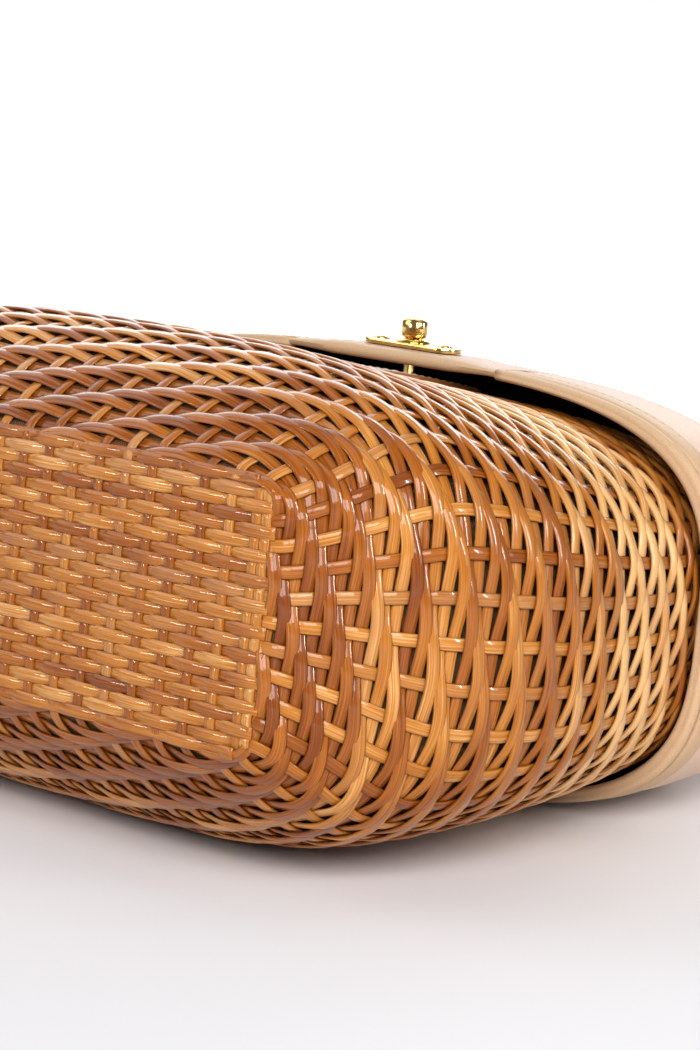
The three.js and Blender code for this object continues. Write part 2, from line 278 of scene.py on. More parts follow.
class Skin:
    """Points, faces and point values of one mesh, gathered band by band."""

    def __init__(self) -> None:
        """Starts an empty mesh."""
        self.points: list[Array] = []
        self.values: list[Array] = []
        self.faces: list[tuple[int, ...]] = []
        self.count = 0

    def loft(self, loops: Array, caps: bool = True, values: Array | None = None) -> None:
        """Adds a closed skin through loops of equally many points.

        Args:
            loops: Loops by points by x, y, z, upright.
            caps: Whether the first and last loop are filled.
            values: One value for each point of each loop, or none.
        """
        rows, around = loops.shape[:2]
        flat = loops.reshape(-1, 3)
        index = np.arange(rows * around).reshape(rows, around)
        ahead = np.roll(index, -1, axis=1)
        quads = np.stack([index[:-1], ahead[:-1], ahead[1:], index[1:]], axis=-1).reshape(-1, 4)
        tri = np.concatenate([quads[:, [0, 1, 2]], quads[:, [0, 2, 3]]])
        middle = flat.mean(axis=0)
        a, b, c = (flat[tri[:, i]] - middle for i in range(3))
        inwards = np.einsum("ij,ij->i", a, np.cross(b, c)).sum() < 0
        faces = [tuple(quad) for quad in (quads[:, ::-1] if inwards else quads) + self.count]
        if caps:
            first = tuple(index[0] + self.count)
            last = tuple(index[-1] + self.count)
            faces += [first, last[::-1]] if inwards else [first[::-1], last]
        self.faces += [tuple(int(i) for i in face) for face in faces]
        self.points.append(flat)
        self.values.append(np.zeros(len(flat)) if values is None else np.asarray(values, float).ravel())
        self.count += len(flat)

    def build(self, name: str, material: Material, value_name: str = "") -> Piece:
        """Makes the mesh object in the part's frame.

        Args:
            name: The piece's name.
            material: Its finish.
            value_name: The name of the point value that the finish reads, or none.

        Returns:
            The new object, smooth shaded.
        """
        mesh = bpy.data.meshes.new(name)
        mesh.from_pydata(LIE.place(np.concatenate(self.points)).tolist(), [], self.faces)
        mesh.polygons.foreach_set("use_smooth", np.ones(len(mesh.polygons), bool))
        if value_name:
            layer = mesh.attributes.new(value_name, "FLOAT", "POINT")
            layer.data.foreach_set("value", np.concatenate(self.values).astype(np.float32))
        mesh.materials.append(material)
        mesh.update()
        return link(name, mesh)


def crease(piece: Piece, angle_deg: float) -> None:
    """Shades the edges of a piece sharp where its faces meet at more than an angle."""
    piece.data.set_sharp_from_angle(angle=math.radians(angle_deg))


def dress(piece: Piece, slot: Slot, *nodes: str, body: Body = Body.BAG) -> None:
    """Hands a finished piece to the frame.

    Args:
        piece: The finished mesh object.
        slot: The record's finish for the piece; not used.
        nodes: The CAD nodes that it stands for.
        body: The body that it moves with.
    """
    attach(piece, body.value)
    if nodes:
        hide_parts(*nodes)
    log.info("%s: %d faces", piece.name, len(piece.data.polygons))


class Nodes:
    """A node tree under construction."""

    def __init__(self, tree: bpy.types.NodeTree) -> None:
        """Starts on a tree."""
        self.tree = tree

    def feed(self, socket: Socket, value: object) -> None:
        """Links or sets one input.

        Args:
            socket: The input.
            value: A socket to link, a plain value, or a colour of three parts.
        """
        if isinstance(value, Socket):
            self.tree.links.new(value, socket)
        else:
            socket.default_value = (*value, 1.0) if socket.type == "RGBA" else value

    def node(
        self, kind: str, inputs: dict[str | int, object] | None = None, **settings: object
    ) -> bpy.types.Node:
        """Adds a node.

        Args:
            kind: The node's type.
            inputs: Values or sockets by input name or number.
            settings: Other settings of the node.

        Returns:
            The node.
        """
        node = self.tree.nodes.new(kind)
        for key, value in settings.items():
            setattr(node, key, value)
        for key, value in (inputs or {}).items():
            self.feed(node.inputs[key], value)
        return node

    def math(self, operation: str, a: object, b: object = 0.0) -> Socket:
        """One sum of two numbers."""
        return self.node("ShaderNodeMath", {0: a, 1: b}, operation=operation).outputs[0]

    def times(self, a: object, b: object) -> Socket:
        """The product of two numbers."""
        return self.math("MULTIPLY", a, b)


class Paint(Nodes):
    """Builds one procedural material, node by node."""

    def __init__(self, name: str) -> None:
        """Starts a material with its shader.

        Args:
            name: The material's name.
        """
        self.material = bpy.data.materials.new(name)
        self.material.use_nodes = True
        super().__init__(self.material.node_tree)
        self.shader = self.tree.nodes["Principled BSDF"]

    def set(self, **values: object) -> None:
        """Links or sets inputs of the shader, with underscores for blanks in their names."""
        for key, value in values.items():
            self.feed(self.shader.inputs[key.replace("_", " ")], value)

    def attribute(self, name: str) -> Socket:
        """A number that the mesh carries at each point."""
        return self.node("ShaderNodeAttribute", attribute_name=name).outputs["Fac"]

    def place(self) -> Socket:
        """Object coordinates."""
        return self.node("ShaderNodeTexCoord").outputs["Object"]

    def stretch(self, vector: object, scale: Sequence[float]) -> Socket:
        """A vector scaled along its axes."""
        return self.node("ShaderNodeMapping", {"Vector": vector, "Scale": scale}).outputs["Vector"]

    def join(self, x: object, y: object, z: object) -> Socket:
        """A vector of three numbers."""
        return self.node("ShaderNodeCombineXYZ", {0: x, 1: y, 2: z}).outputs["Vector"]

    def noise(self, vector: object, scale: float, detail: float) -> Socket:
        """A soft random pattern between 0 and 1."""
        inputs = {"Vector": vector, "Scale": scale, "Detail": detail}
        return self.node("ShaderNodeTexNoise", inputs).outputs["Fac"]

    def cells(self, vector: object, scale: float) -> Socket:
        """The distance to the edges of small pebbles, as in leather grain."""
        inputs = {"Vector": vector, "Scale": scale}
        return self.node("ShaderNodeTexVoronoi", inputs, feature="DISTANCE_TO_EDGE").outputs["Distance"]

    def span(self, value: object, low: float, high: float, to_low: float, to_high: float) -> Socket:
        """A number moved from one range to another, and held inside it."""
        inputs = {0: value, 1: low, 2: high, 3: to_low, 4: to_high}
        return self.node("ShaderNodeMapRange", inputs).outputs[0]

    def ramp(self, value: object, stops: Sequence[tuple[float, Colour]]) -> Socket:
        """A colour that runs through stops.

        Args:
            value: A number that rises from 0 to 1.
            stops: Places and colours.

        Returns:
            The colour.
        """
        node = self.node("ShaderNodeValToRGB", {"Fac": value})
        elements = node.color_ramp.elements
        while len(elements) < len(stops):
            elements.new(0.5)
        for element, (position, colour) in zip(elements, stops):
            element.position = position
            element.color = (*colour, 1.0)
        return node.outputs["Color"]

    def mix(self, share: object, a: object, b: object, blend: str = "MIX") -> Socket:
        """Two colours mixed by a share."""
        inputs = {0: share, 6: a, 7: b}
        return self.node("ShaderNodeMix", inputs, data_type="RGBA", blend_type=blend).outputs[2]

    def bump(self, height: object, strength: float, distance: float) -> None:
        """Gives the surface relief from a pattern, with its depth in metres."""
        inputs = {"Height": height, "Strength": strength, "Distance": distance}
        self.set(Normal=self.node("ShaderNodeBump", inputs).outputs["Normal"])


@dataclass(frozen=True)
class RattanFinish:
    """Varnished split rattan: each strand has its own tone, with streaks along it.

    Attributes:
        stops: The tones from the darkest strand to the palest.
        grey: The tone that some strands have faded towards.
        fade: How far they have faded at most.
        edge: The colour painted along a strand's edges where strands meet: partly dirt, partly painted
            shade.
        gloss: The weight of the varnish.
        tone_step: How far apart the patterns of two tones lie.
        blotches: Blotches along a metre of strand.
        fibres: Fibres along a metre of strand, and from its middle to its edge.
        blotch_shift: How far blotches shift the tone.
        fibre_shift: How far fibres shift it.
    """

    stops: tuple[tuple[float, Colour], ...] = (
        (0.0, (0.19, 0.042, 0.004)),
        (0.3, (0.345, 0.096, 0.009)),
        (0.62, (0.51, 0.19, 0.027)),
        (1.0, (0.8, 0.455, 0.18)),
    )
    grey: Colour = (0.36, 0.19, 0.1)
    fade: float = 0.35
    edge: Colour = (0.09, 0.028, 0.008)
    gloss: float = 0.5
    tone_step: float = 57.0
    blotches: float = 28.0
    fibres: Pair = (26.0, 2.2)
    blotch_shift: float = 0.22
    fibre_shift: float = 0.2

    def material(self) -> Material:
        """Builds the finish, which reads tone, along and across from the mesh.

        Returns:
            The material.
        """
        paint = Paint("varnished_rattan")
        tone, along, across = (paint.attribute(name) for name in ("tone", "along", "across"))
        own = paint.times(tone, self.tone_step)
        blotch = paint.noise(paint.join(paint.times(along, self.blotches), own, 0.0), 1.0, 2.0)
        streaks = [paint.times(*pair) for pair in zip((along, across), self.fibres)]
        fibre = paint.noise(paint.join(*streaks, own), 2.0, 5.0)
        by_blotch = paint.span(blotch, 0.25, 0.75, -self.blotch_shift, self.blotch_shift)
        by_fibre = paint.span(fibre, 0.3, 0.7, -self.fibre_shift, self.fibre_shift)
        shifted = paint.math("ADD", paint.math("ADD", tone, by_blotch), by_fibre)
        chance = paint.node("ShaderNodeTexWhiteNoise", {"W": own}, noise_dimensions="1D")
        faded = paint.span(chance.outputs["Value"], 0.5, 1.0, 0.0, self.fade)
        dull = paint.times(faded, paint.span(tone, 0.2, 0.5, 0.0, 1.0))
        body = paint.mix(dull, paint.ramp(shifted, self.stops), self.grey)
        # Strands darken towards their edges: partly dirt, partly painted shade where they meet their
        # neighbours.
        edge = paint.span(paint.math("ABSOLUTE", across), 0.8, 1.0, 0.0, 0.35)
        paint.bump(fibre, 0.35, 0.0003)
        paint.set(
            Base_Color=paint.mix(edge, body, self.edge),
            Roughness=paint.span(fibre, 0.25, 0.75, 0.26, 0.42),
            Coat_Weight=self.gloss,
            Coat_Roughness=0.06,
            Specular_IOR_Level=0.1,
        )
        return paint.material


@dataclass(frozen=True)
class ClothFinish:
    """Plain dark lining cloth with a fine weave.

    Attributes:
        name: The material's name.
        dark: The colour between the threads.
        light: The colour of the threads.
        fineness: How fine the weave is.
    """

    name: str
    dark: Colour
    light: Colour
    fineness: float = 420.0

    def material(self) -> Material:
        """Builds the finish on Object coordinates.

        Returns:
            The material.
        """
        paint = Paint(self.name)
        threads = []
        for direction in ("X", "Y"):
            inputs = {"Vector": paint.place(), "Scale": self.fineness}
            wave = paint.node("ShaderNodeTexWave", inputs, wave_type="BANDS", bands_direction=direction)
            threads.append(wave.outputs["Fac"])
        weave = paint.times(*threads)
        paint.bump(weave, 0.4, 0.0002)
        paint.set(
            Base_Color=paint.mix(weave, self.dark, self.light),
            Roughness=paint.span(weave, 0.0, 1.0, 0.85, 0.98),
            Specular_IOR_Level=0.1,
        )
        return paint.material


@dataclass(frozen=True)
class LeatherFinish:
    """Smooth leather with a fine grain and a hem of another tone.

    Attributes:
        name: The material's name.
        body: The colour of the open surface.
        hem: The colour where the mesh's hem value is 1.
        rough: The roughness between grains.
        coat: The weight of the polish.
        grain: The strength of the grain.
        clouds: How fine the broad changes of tone are.
        pores: How fine the pores are.
        pebbles: How fine the grain is.
    """

    name: str
    body: Colour
    hem: Colour
    rough: float
    coat: float
    grain: float = 0.1
    clouds: float = 22.0
    pores: float = 900.0
    pebbles: float = 1150.0

    def material(self) -> Material:
        """Builds the finish on Object coordinates and the mesh's hem value.

        Returns:
            The material.
        """
        paint = Paint(self.name)
        place = paint.place()
        cloud = paint.noise(place, self.clouds, 3.0)
        fine = paint.noise(place, self.pores, 4.0)
        pebbles = paint.span(paint.cells(place, self.pebbles), 0.0, 0.16, 0.0, 1.0)
        worn = tuple(min(1.0, part * 1.08) for part in self.body)
        deep = tuple(part * 0.9 for part in self.body)
        open_face = paint.ramp(cloud, ((0.3, deep), (0.5, self.body), (0.72, worn)))
        hem = paint.mix(paint.attribute("hem"), open_face, self.hem)
        between = paint.span(pebbles, 0.0, 1.0, 0.9, 1.0)
        shade = paint.join(between, between, between)
        relief = paint.math("ADD", pebbles, paint.times(fine, 0.6))
        paint.bump(relief, self.grain, 0.00012)
        paint.set(
            Base_Color=paint.mix(1.0, hem, shade, "MULTIPLY"),
            Roughness=paint.span(fine, 0.3, 0.7, self.rough - 0.05, self.rough + 0.08),
            Coat_Weight=self.coat,
            Coat_Roughness=0.3,
            Specular_IOR_Level=0.25,
        )
        return paint.material


@dataclass(frozen=True)
class GoldFinish:
    """Polished gold-toned metal with faint handling marks.

    Attributes:
        body: The metal's colour.
        worn: Its colour where it is smeared.
        smears: How fine the smears are.
        scratches: How fine the scratches are along each axis.
    """

    body: Colour = (0.78, 0.53, 0.17)
    worn: Colour = (0.84, 0.62, 0.27)
    smears: float = 160.0
    scratches: Triple = (300.0, 4000.0, 300.0)

    def material(self) -> Material:
        """Builds the finish on Object coordinates.

        Returns:
            The material.
        """
        paint = Paint("polished_gold_metal")
        place = paint.place()
        smear = paint.noise(place, self.smears, 4.0)
        scratch = paint.noise(paint.stretch(place, self.scratches), 1.0, 3.0)
        paint.bump(scratch, 0.06, 0.00005)
        paint.set(
            Base_Color=paint.mix(paint.span(smear, 0.35, 0.7, 0.0, 1.0), self.body, self.worn),
            Roughness=paint.span(smear, 0.3, 0.7, 0.1, 0.2),
            Metallic=1.0,
        )
        return paint.material


@dataclass(frozen=True)
class ThreadFinish:
    """Waxed sewing thread, twisted.

    Attributes:
        dark: The colour between the twists.
        light: The colour on them.
        twists: How fine they are.
    """

    dark: Colour = (0.5, 0.33, 0.19)
    light: Colour = (0.68, 0.48, 0.3)
    twists: float = 2600.0

    def material(self) -> Material:
        """Builds the finish on Object coordinates.

        Returns:
            The material.
        """
        paint = Paint("waxed_thread")
        twist = paint.noise(paint.place(), self.twists, 2.0)
        paint.bump(twist, 0.3, 0.0001)
        paint.set(
            Base_Color=paint.mix(twist, self.dark, self.light),
            Roughness=paint.span(twist, 0.3, 0.7, 0.5, 0.7),
        )
        return paint.material


@dataclass(frozen=True)
class FloorFinish:
    """A white paper sweep that glows behind the bag, as under a lit backdrop, and a little all round.

    Attributes:
        dark: The paper's darker tone.
        light: Its lighter tone.
        away: The direction from the camera towards the glow.
        near: Where the glow starts, in metres behind the bag.
        far: Where it is full.
        ring: Where the weaker glow all round starts, and where it is full.
        back_glow: The strength of the glow behind the bag.
        ring_glow: The strength of the glow all round.
        tooth: How fine the paper's tooth is.
    """

    dark: Colour = (0.83, 0.83, 0.85)
    light: Colour = (0.86, 0.86, 0.88)
    away: Triple = (-0.711, 0.703, 0.0)
    near: float = 0.25
    far: float = 0.65
    ring: Pair = (0.7, 2.5)
    back_glow: float = 0.85
    ring_glow: float = 0.6
    tooth: float = 3.0

    def material(self) -> Material:
        """Builds the finish on Object coordinates.

        Returns:
            The material.
        """
        paint = Paint("white_paper")
        place = paint.place()
        tooth = paint.noise(place, self.tooth, 2.0)
        behind = paint.node("ShaderNodeVectorMath", {0: place, 1: self.away}, operation="DOT_PRODUCT")
        glow = paint.span(behind.outputs["Value"], self.near, self.far, 0.0, self.back_glow)
        out = paint.node("ShaderNodeVectorMath", {0: place}, operation="LENGTH")
        around = paint.span(out.outputs["Value"], *self.ring, 0.0, self.ring_glow)
        paint.set(
            Base_Color=paint.mix(tooth, self.dark, self.light),
            Roughness=paint.span(tooth, 0.3, 0.7, 0.6, 0.7),
            Emission_Color=(1.0, 1.0, 1.0),
            Emission_Strength=paint.math("MAXIMUM", glow, around),
            Specular_IOR_Level=0.0,
        )
        return paint.material


class Finishes:
    """All the materials of the bag, made once."""

    def __init__(self) -> None:
        """Builds every material."""
        self.rattan = RattanFinish().material()
        self.cloth = ClothFinish(
            "basket_cloth", dark=(0.085, 0.049, 0.026), light=(0.19, 0.113, 0.066)
        ).material()
        # The lid's lining takes the lining cloth darker still, near black: painted shade inside the lid.
        self.lid_cloth = ClothFinish(
            "lid_cloth", dark=(0.034, 0.019, 0.009), light=(0.075, 0.043, 0.022)
        ).material()
        self.beige = LeatherFinish(
            "beige_leather", body=(0.72, 0.51, 0.385), hem=(0.62, 0.41, 0.24), rough=0.45, coat=0.0
        ).material()
        self.brown = LeatherFinish(
            "brown_leather", body=(0.36, 0.14, 0.035), hem=(0.25, 0.09, 0.02), rough=0.32, coat=0.3
        ).material()
        self.gold = GoldFinish().material()
        self.thread = ThreadFinish().material()
        self.floor = FloorFinish().material()


class NodeRule(Nodes):
    """A Geometry Nodes tree under construction."""

    def __init__(self, name: str) -> None:
        """Starts a tree with a geometry input and output.

        Args:
            name: The tree's name.
        """
        super().__init__(bpy.data.node_groups.new(name, "GeometryNodeTree"))
        for way in ("INPUT", "OUTPUT"):
            self.tree.interface.new_socket("Geometry", in_out=way, socket_type="NodeSocketGeometry")
        self.inside = self.tree.nodes.new("NodeGroupInput")
        self.outside = self.tree.nodes.new("NodeGroupOutput")

    def ask(self, name: str, kind: str = "Float") -> Socket:
        """Adds a named input to the tree and gives its socket."""
        self.tree.interface.new_socket(name, in_out="INPUT", socket_type=f"NodeSocket{kind}")
        return self.inside.outputs[name]

    def scale(self, vector: object, by: object) -> Socket:
        """A vector made longer or shorter."""
        return self.node("ShaderNodeVectorMath", {0: vector, "Scale": by}, operation="SCALE").outputs[0]

    def add(self, a: object, b: object) -> Socket:
        """The sum of two vectors."""
        return self.node("ShaderNodeVectorMath", {0: a, 1: b}, operation="ADD").outputs[0]

    def read(self, name: str, kind: str = "FLOAT") -> Socket:
        """A value that the geometry carries."""
        node = self.node("GeometryNodeInputNamedAttribute", {"Name": name}, data_type=kind)
        return node.outputs["Attribute"]

    def keep(self, geometry: object, name: str, value: object) -> Socket:
        """Stores a number on the points of a geometry.

        Args:
            geometry: The geometry.
            name: The number's name.
            value: The number.

        Returns:
            The geometry that carries it.
        """
        inputs = {"Geometry": geometry, "Name": name, "Value": value}
        kind = "GeometryNodeStoreNamedAttribute"
        return self.node(kind, inputs, data_type="FLOAT", domain="POINT").outputs["Geometry"]

    def close(self, geometry: Socket, material: Socket) -> None:
        """Ends the tree: realized, smooth and with its material.

        Args:
            geometry: The finished geometry.
            material: The material input.
        """
        real = self.node("GeometryNodeRealizeInstances", {0: geometry}).outputs[0]
        smooth = self.node("GeometryNodeSetShadeSmooth", {"Geometry": real, "Shade Smooth": True})
        inputs = {"Geometry": smooth.outputs[0], "Material": material}
        done = self.node("GeometryNodeSetMaterial", inputs).outputs[0]
        self.feed(self.outside.inputs["Geometry"], done)

    def grow(self, piece: Piece, keep: Sequence[str], **values: object) -> Piece:
        """Runs the tree on an object and leaves a plain mesh.

        Args:
            piece: The object whose mesh feeds the tree.
            keep: The point values that the finish still reads.
            values: Inputs of the tree, with underscores for blanks in their names.

        Returns:
            The same object with its grown mesh.
        """
        modifier = piece.modifiers.new("rule", "NODES")
        modifier.node_group = self.tree
        for item in self.tree.interface.items_tree:
            key = item.name.replace(" ", "_")
            if item.in_out == "INPUT" and key in values:
                modifier[item.identifier] = values[key]
        graph = bpy.context.evaluated_depsgraph_get()
        mesh = bpy.data.meshes.new_from_object(piece.evaluated_get(graph), depsgraph=graph)
        piece.modifiers.clear()
        piece.data = mesh
        mesh.name = piece.name
        for name in [layer.name for layer in mesh.attributes if not layer.is_required]:
            layer = mesh.attributes[name]
            if name not in keep and not layer.is_internal and name != "material_index":
                mesh.attributes.remove(layer)
        return piece


class WeaveRule(NodeRule):
    """The weaving rule: strands swing over and under, and to and fro, as their phase runs on.

    Attributes:
        LEAN: How far a strand leans across its row on its way over, as a share of its sway.
        SWAY_MIDDLE: The share of the sway by which a strand that lies under is set back.
        TONE_STEP: How far apart the wander of two tones lies.
        WANDER_SCALE: How fine the wander is.
    """

    LEAN = 0.45
    SWAY_MIDDLE = 0.35
    TONE_STEP = 91.0
    WANDER_SCALE = 45.0

    def __init__(self) -> None:
        """Builds the tree."""
        super().__init__("weaving_rule")
        width, thick = self.ask("Strand Width"), self.ask("Strand Thickness")
        square, wander = self.ask("Squareness"), self.ask("Wander")
        sides, material = self.ask("Sides", "Int"), self.ask("Material", "Material")
        crossings = self.math("DIVIDE", self.read("phase"), self.read("period"))
        turn = self.times(crossings, math.tau)
        swing = self.math("SINE", self.times(self.math("COSINE", turn), math.pi / 2))
        outward = self.read("outward", "FLOAT_VECTOR")
        sideways = self.read("sideways", "FLOAT_VECTOR")
        lift = self.scale(outward, self.times(swing, self.read("lift")))
        over = self.times(self.math("ADD", self.math("COSINE", turn), 1.0), 0.5)
        bow = self.math("SUBTRACT", self.times(over, over), self.SWAY_MIDDLE)
        lean = self.times(self.math("SINE", turn), self.LEAN)
        sway = self.times(self.math("ADD", lean, bow), self.read("sway"))
        place = self.node("GeometryNodeInputPosition").outputs[0]
        own = self.times(self.read("tone"), self.TONE_STEP)
        noise = self.node(
            "ShaderNodeTexNoise",
            {"Vector": place, "W": own, "Scale": self.WANDER_SCALE, "Detail": 1.0},
            noise_dimensions="4D",
        )
        drift = self.times(self.math("SUBTRACT", noise.outputs[0], 0.5), wander)
        shift = self.scale(sideways, self.math("ADD", sway, drift))
        curve = self.node("GeometryNodeMeshToCurve", {0: self.inside.outputs["Geometry"]}).outputs[0]
        moved = self.node("GeometryNodeSetPosition", {"Geometry": curve, "Offset": self.add(lift, shift)})
        facing = self.node(
            "GeometryNodeSetCurveNormal", {"Curve": moved.outputs[0], "Normal": outward}, mode="FREE"
        )
        along = self.node("GeometryNodeSplineParameter").outputs["Length"]
        marked = self.keep(facing.outputs[0], "along", along)
        share = self.times(swing, self.read("swell"))
        swell = self.times(share, self.read("girth"))
        girth = self.math("ADD", self.read("girth"), swell)
        sized = self.node("GeometryNodeSetCurveRadius", {"Curve": marked, "Radius": girth}).outputs[0]
        oval = self.profile(width, thick, square, sides)
        inputs = {"Curve": sized, "Profile Curve": oval, "Fill Caps": True}
        self.close(self.node("GeometryNodeCurveToMesh", inputs).outputs[0], material)

    def profile(self, width: object, thick: object, square: object, sides: object) -> Socket:
        """The flat oval that a strand is split to.

        Args:
            width: The strand's width, in metres.
            thick: Its thickness.
            square: How square its edges are, 2 for an ellipse.
            sides: How many points it has.

        Returns:
            The profile curve, which carries where each point lies across the strand.
        """
        ring = self.node("GeometryNodeCurvePrimitiveCircle", {"Resolution": sides, "Radius": 1.0})
        place = self.node("GeometryNodeInputPosition").outputs[0]
        parts = self.node("ShaderNodeSeparateXYZ", {0: place}).outputs
        power = self.math("DIVIDE", 2.0, square)
        squared = []
        for part in parts[:2]:
            size = self.math("POWER", self.math("ABSOLUTE", part), power)
            squared.append(self.times(size, self.math("SIGN", part)))
        marked = self.keep(ring.outputs[0], "across", squared[1])
        x = self.times(squared[0], self.times(thick, 0.5))
        y = self.times(squared[1], self.times(width, 0.5))
        flat = self.node("ShaderNodeCombineXYZ", {0: x, 1: y}).outputs[0]
        return self.node("GeometryNodeSetPosition", {"Geometry": marked, "Position": flat}).outputs[0]


class StitchRule(NodeRule):
    """Sewn stitches at an even pitch along seam lines.

    Attributes:
        BEAD: The sides and rings of one stitch, a small bead of a size of one.
    """

    BEAD = {"Segments": 6, "Rings": 4, "Radius": 0.5}

    def __init__(self) -> None:
        """Builds the tree."""
        super().__init__("stitching_rule")
        pitch, length = self.ask("Pitch"), self.ask("Stitch Length")
        width, material = self.ask("Stitch Width"), self.ask("Material", "Material")
        curve = self.node("GeometryNodeMeshToCurve", {0: self.inside.outputs["Geometry"]}).outputs[0]
        spaced = self.node("GeometryNodeResampleCurve", {"Curve": curve, "Length": pitch}, mode="LENGTH")
        tangent = self.node("GeometryNodeInputTangent").outputs[0]
        lead = self.node("FunctionNodeAlignRotationToVector", {"Vector": tangent}, axis="X")
        turned = self.node(
            "FunctionNodeAlignRotationToVector",
            {"Rotation": lead.outputs[0], "Vector": self.read("outward", "FLOAT_VECTOR")},
            axis="Z",
            pivot_axis="X",
        )
        bead = self.node("GeometryNodeMeshUVSphere", self.BEAD)
        size = self.node("ShaderNodeCombineXYZ", {0: length, 1: width, 2: width}).outputs[0]
        inputs = {"Points": spaced.outputs[0], "Instance": bead.outputs[0]}
        inputs |= {"Rotation": turned.outputs[0], "Scale": size}
        self.close(self.node("GeometryNodeInstanceOnPoints", inputs).outputs[0], material)


@dataclass
class Lines:
    """Middle lines of strands or seams, with the values that a node rule reads.

    Attributes:
        points: The points of each line, in the part's frame.
        edges: The pairs of points that each line joins.
        values: Numbers or directions at the points, by name.
        count: How many points there are.
    """

    points: list[Array] = field(default_factory=list)
    edges: list[Array] = field(default_factory=list)
    values: dict[str, list[Array]] = field(default_factory=dict)
    count: int = 0

    def add(self, points: Array, closed: bool, **values: Array | float) -> None:
        """Adds one line.

        Args:
            points: Its upright points.
            closed: Whether it is a ring.
            values: Numbers or upright directions at its points.
        """
        index = np.arange(len(points)) + self.count
        pairs = np.stack([index, np.roll(index, -1)], axis=1)
        self.points.append(LIE.place(points))
        self.edges.append(pairs if closed else pairs[:-1])
        for name, value in values.items():
            shape = (len(points), 3) if np.ndim(value) == 2 else (len(points),)
            full = np.broadcast_to(np.asarray(value, float), shape)
            self.values.setdefault(name, []).append(LIE.turn(full) if full.ndim == 2 else full)
        self.count += len(points)

    def build(self, name: str) -> Piece:
        """Makes an object of bare edges that carry the values.

        Args:
            name: The object's name.

        Returns:
            The object.
        """
        mesh = bpy.data.meshes.new(name)
        mesh.from_pydata(np.concatenate(self.points).tolist(), np.concatenate(self.edges).tolist(), [])
        for key, parts in self.values.items():
            full = np.concatenate(parts).astype(np.float32)
            vector = full.ndim == 2
            layer = mesh.attributes.new(key, "FLOAT_VECTOR" if vector else "FLOAT", "POINT")
            layer.data.foreach_set("vector" if vector else "value", full.ravel())
        return link(name, mesh)


@dataclass(frozen=True)
class Camera:
    """The camera at the photograph's viewing angle.

    Attributes:
        aim: The point in the middle of the picture, in millimetres in the part's frame.
        azimuth_deg: The turn round the bag from the base's side.
        elevation_deg: The angle above the table.
        roll_deg: The turn about the line of sight.
        distance: From the aim to the camera.
        lens: The focal length.
        sensor: The size of the sensor.
        nearest: How near things are still seen, in metres.
    """

    aim: Triple = (65.1, -111.5, 81.0)
    azimuth_deg: float = 45.33
    elevation_deg: float = 9.85
    roll_deg: float = 1.807
    distance: float = 955.3
    lens: float = 133.65
    sensor: float = 36.0
    nearest: float = 0.01

    def build(self) -> None:
        """Adds the camera to the scene."""
        azimuth, elevation = math.radians(self.azimuth_deg), math.radians(self.elevation_deg)
        flat = math.cos(elevation)
        back = Vector((math.sin(azimuth) * flat, -math.cos(azimuth) * flat, math.sin(elevation)))
        level = Vector((math.cos(azimuth), math.sin(azimuth), 0.0))
        upright = back.cross(level)
        roll = math.radians(self.roll_deg)
        right = level * math.cos(roll) + upright * math.sin(roll)
        up = back.cross(right)
        data = bpy.data.cameras.new("camera")
        data.lens = self.lens
        data.sensor_width = self.sensor
        data.clip_start = self.nearest
        data.dof.use_dof = False
        camera = link("camera", data)
        turn = Matrix((right, up, back)).transposed().to_4x4()
        place = (Vector(self.aim) + back * self.distance) * MM
        camera.matrix_world = Matrix.Translation(place) @ turn
        bpy.context.scene.camera = camera


@dataclass(frozen=True)
class Lamp:
    """One soft box.

    Attributes:
        name: Its name.
        place: Where it hangs, in metres.
        aim: What it points at.
        size: Its two sides.
        power: Its power in watts.
        sheen_only: Whether it only shows as a highlight and leaves matt surfaces unlit.
    """

    name: str
    place: Triple
    aim: Triple
    size: Pair
    power: float
    sheen_only: bool = False

    def build(self) -> None:
        """Adds the light to the scene."""
        data = bpy.data.lights.new(self.name, "AREA")
        data.shape = "RECTANGLE"
        data.size, data.size_y = self.size
        data.energy = self.power
        lamp = link(self.name, data)
        look = (Vector(self.aim) - Vector(self.place)).to_track_quat("-Z", "Y")
        lamp.visible_camera = False
        lamp.visible_diffuse = not self.sheen_only
        lamp.matrix_world = Matrix.Translation(self.place) @ look.to_matrix().to_4x4()


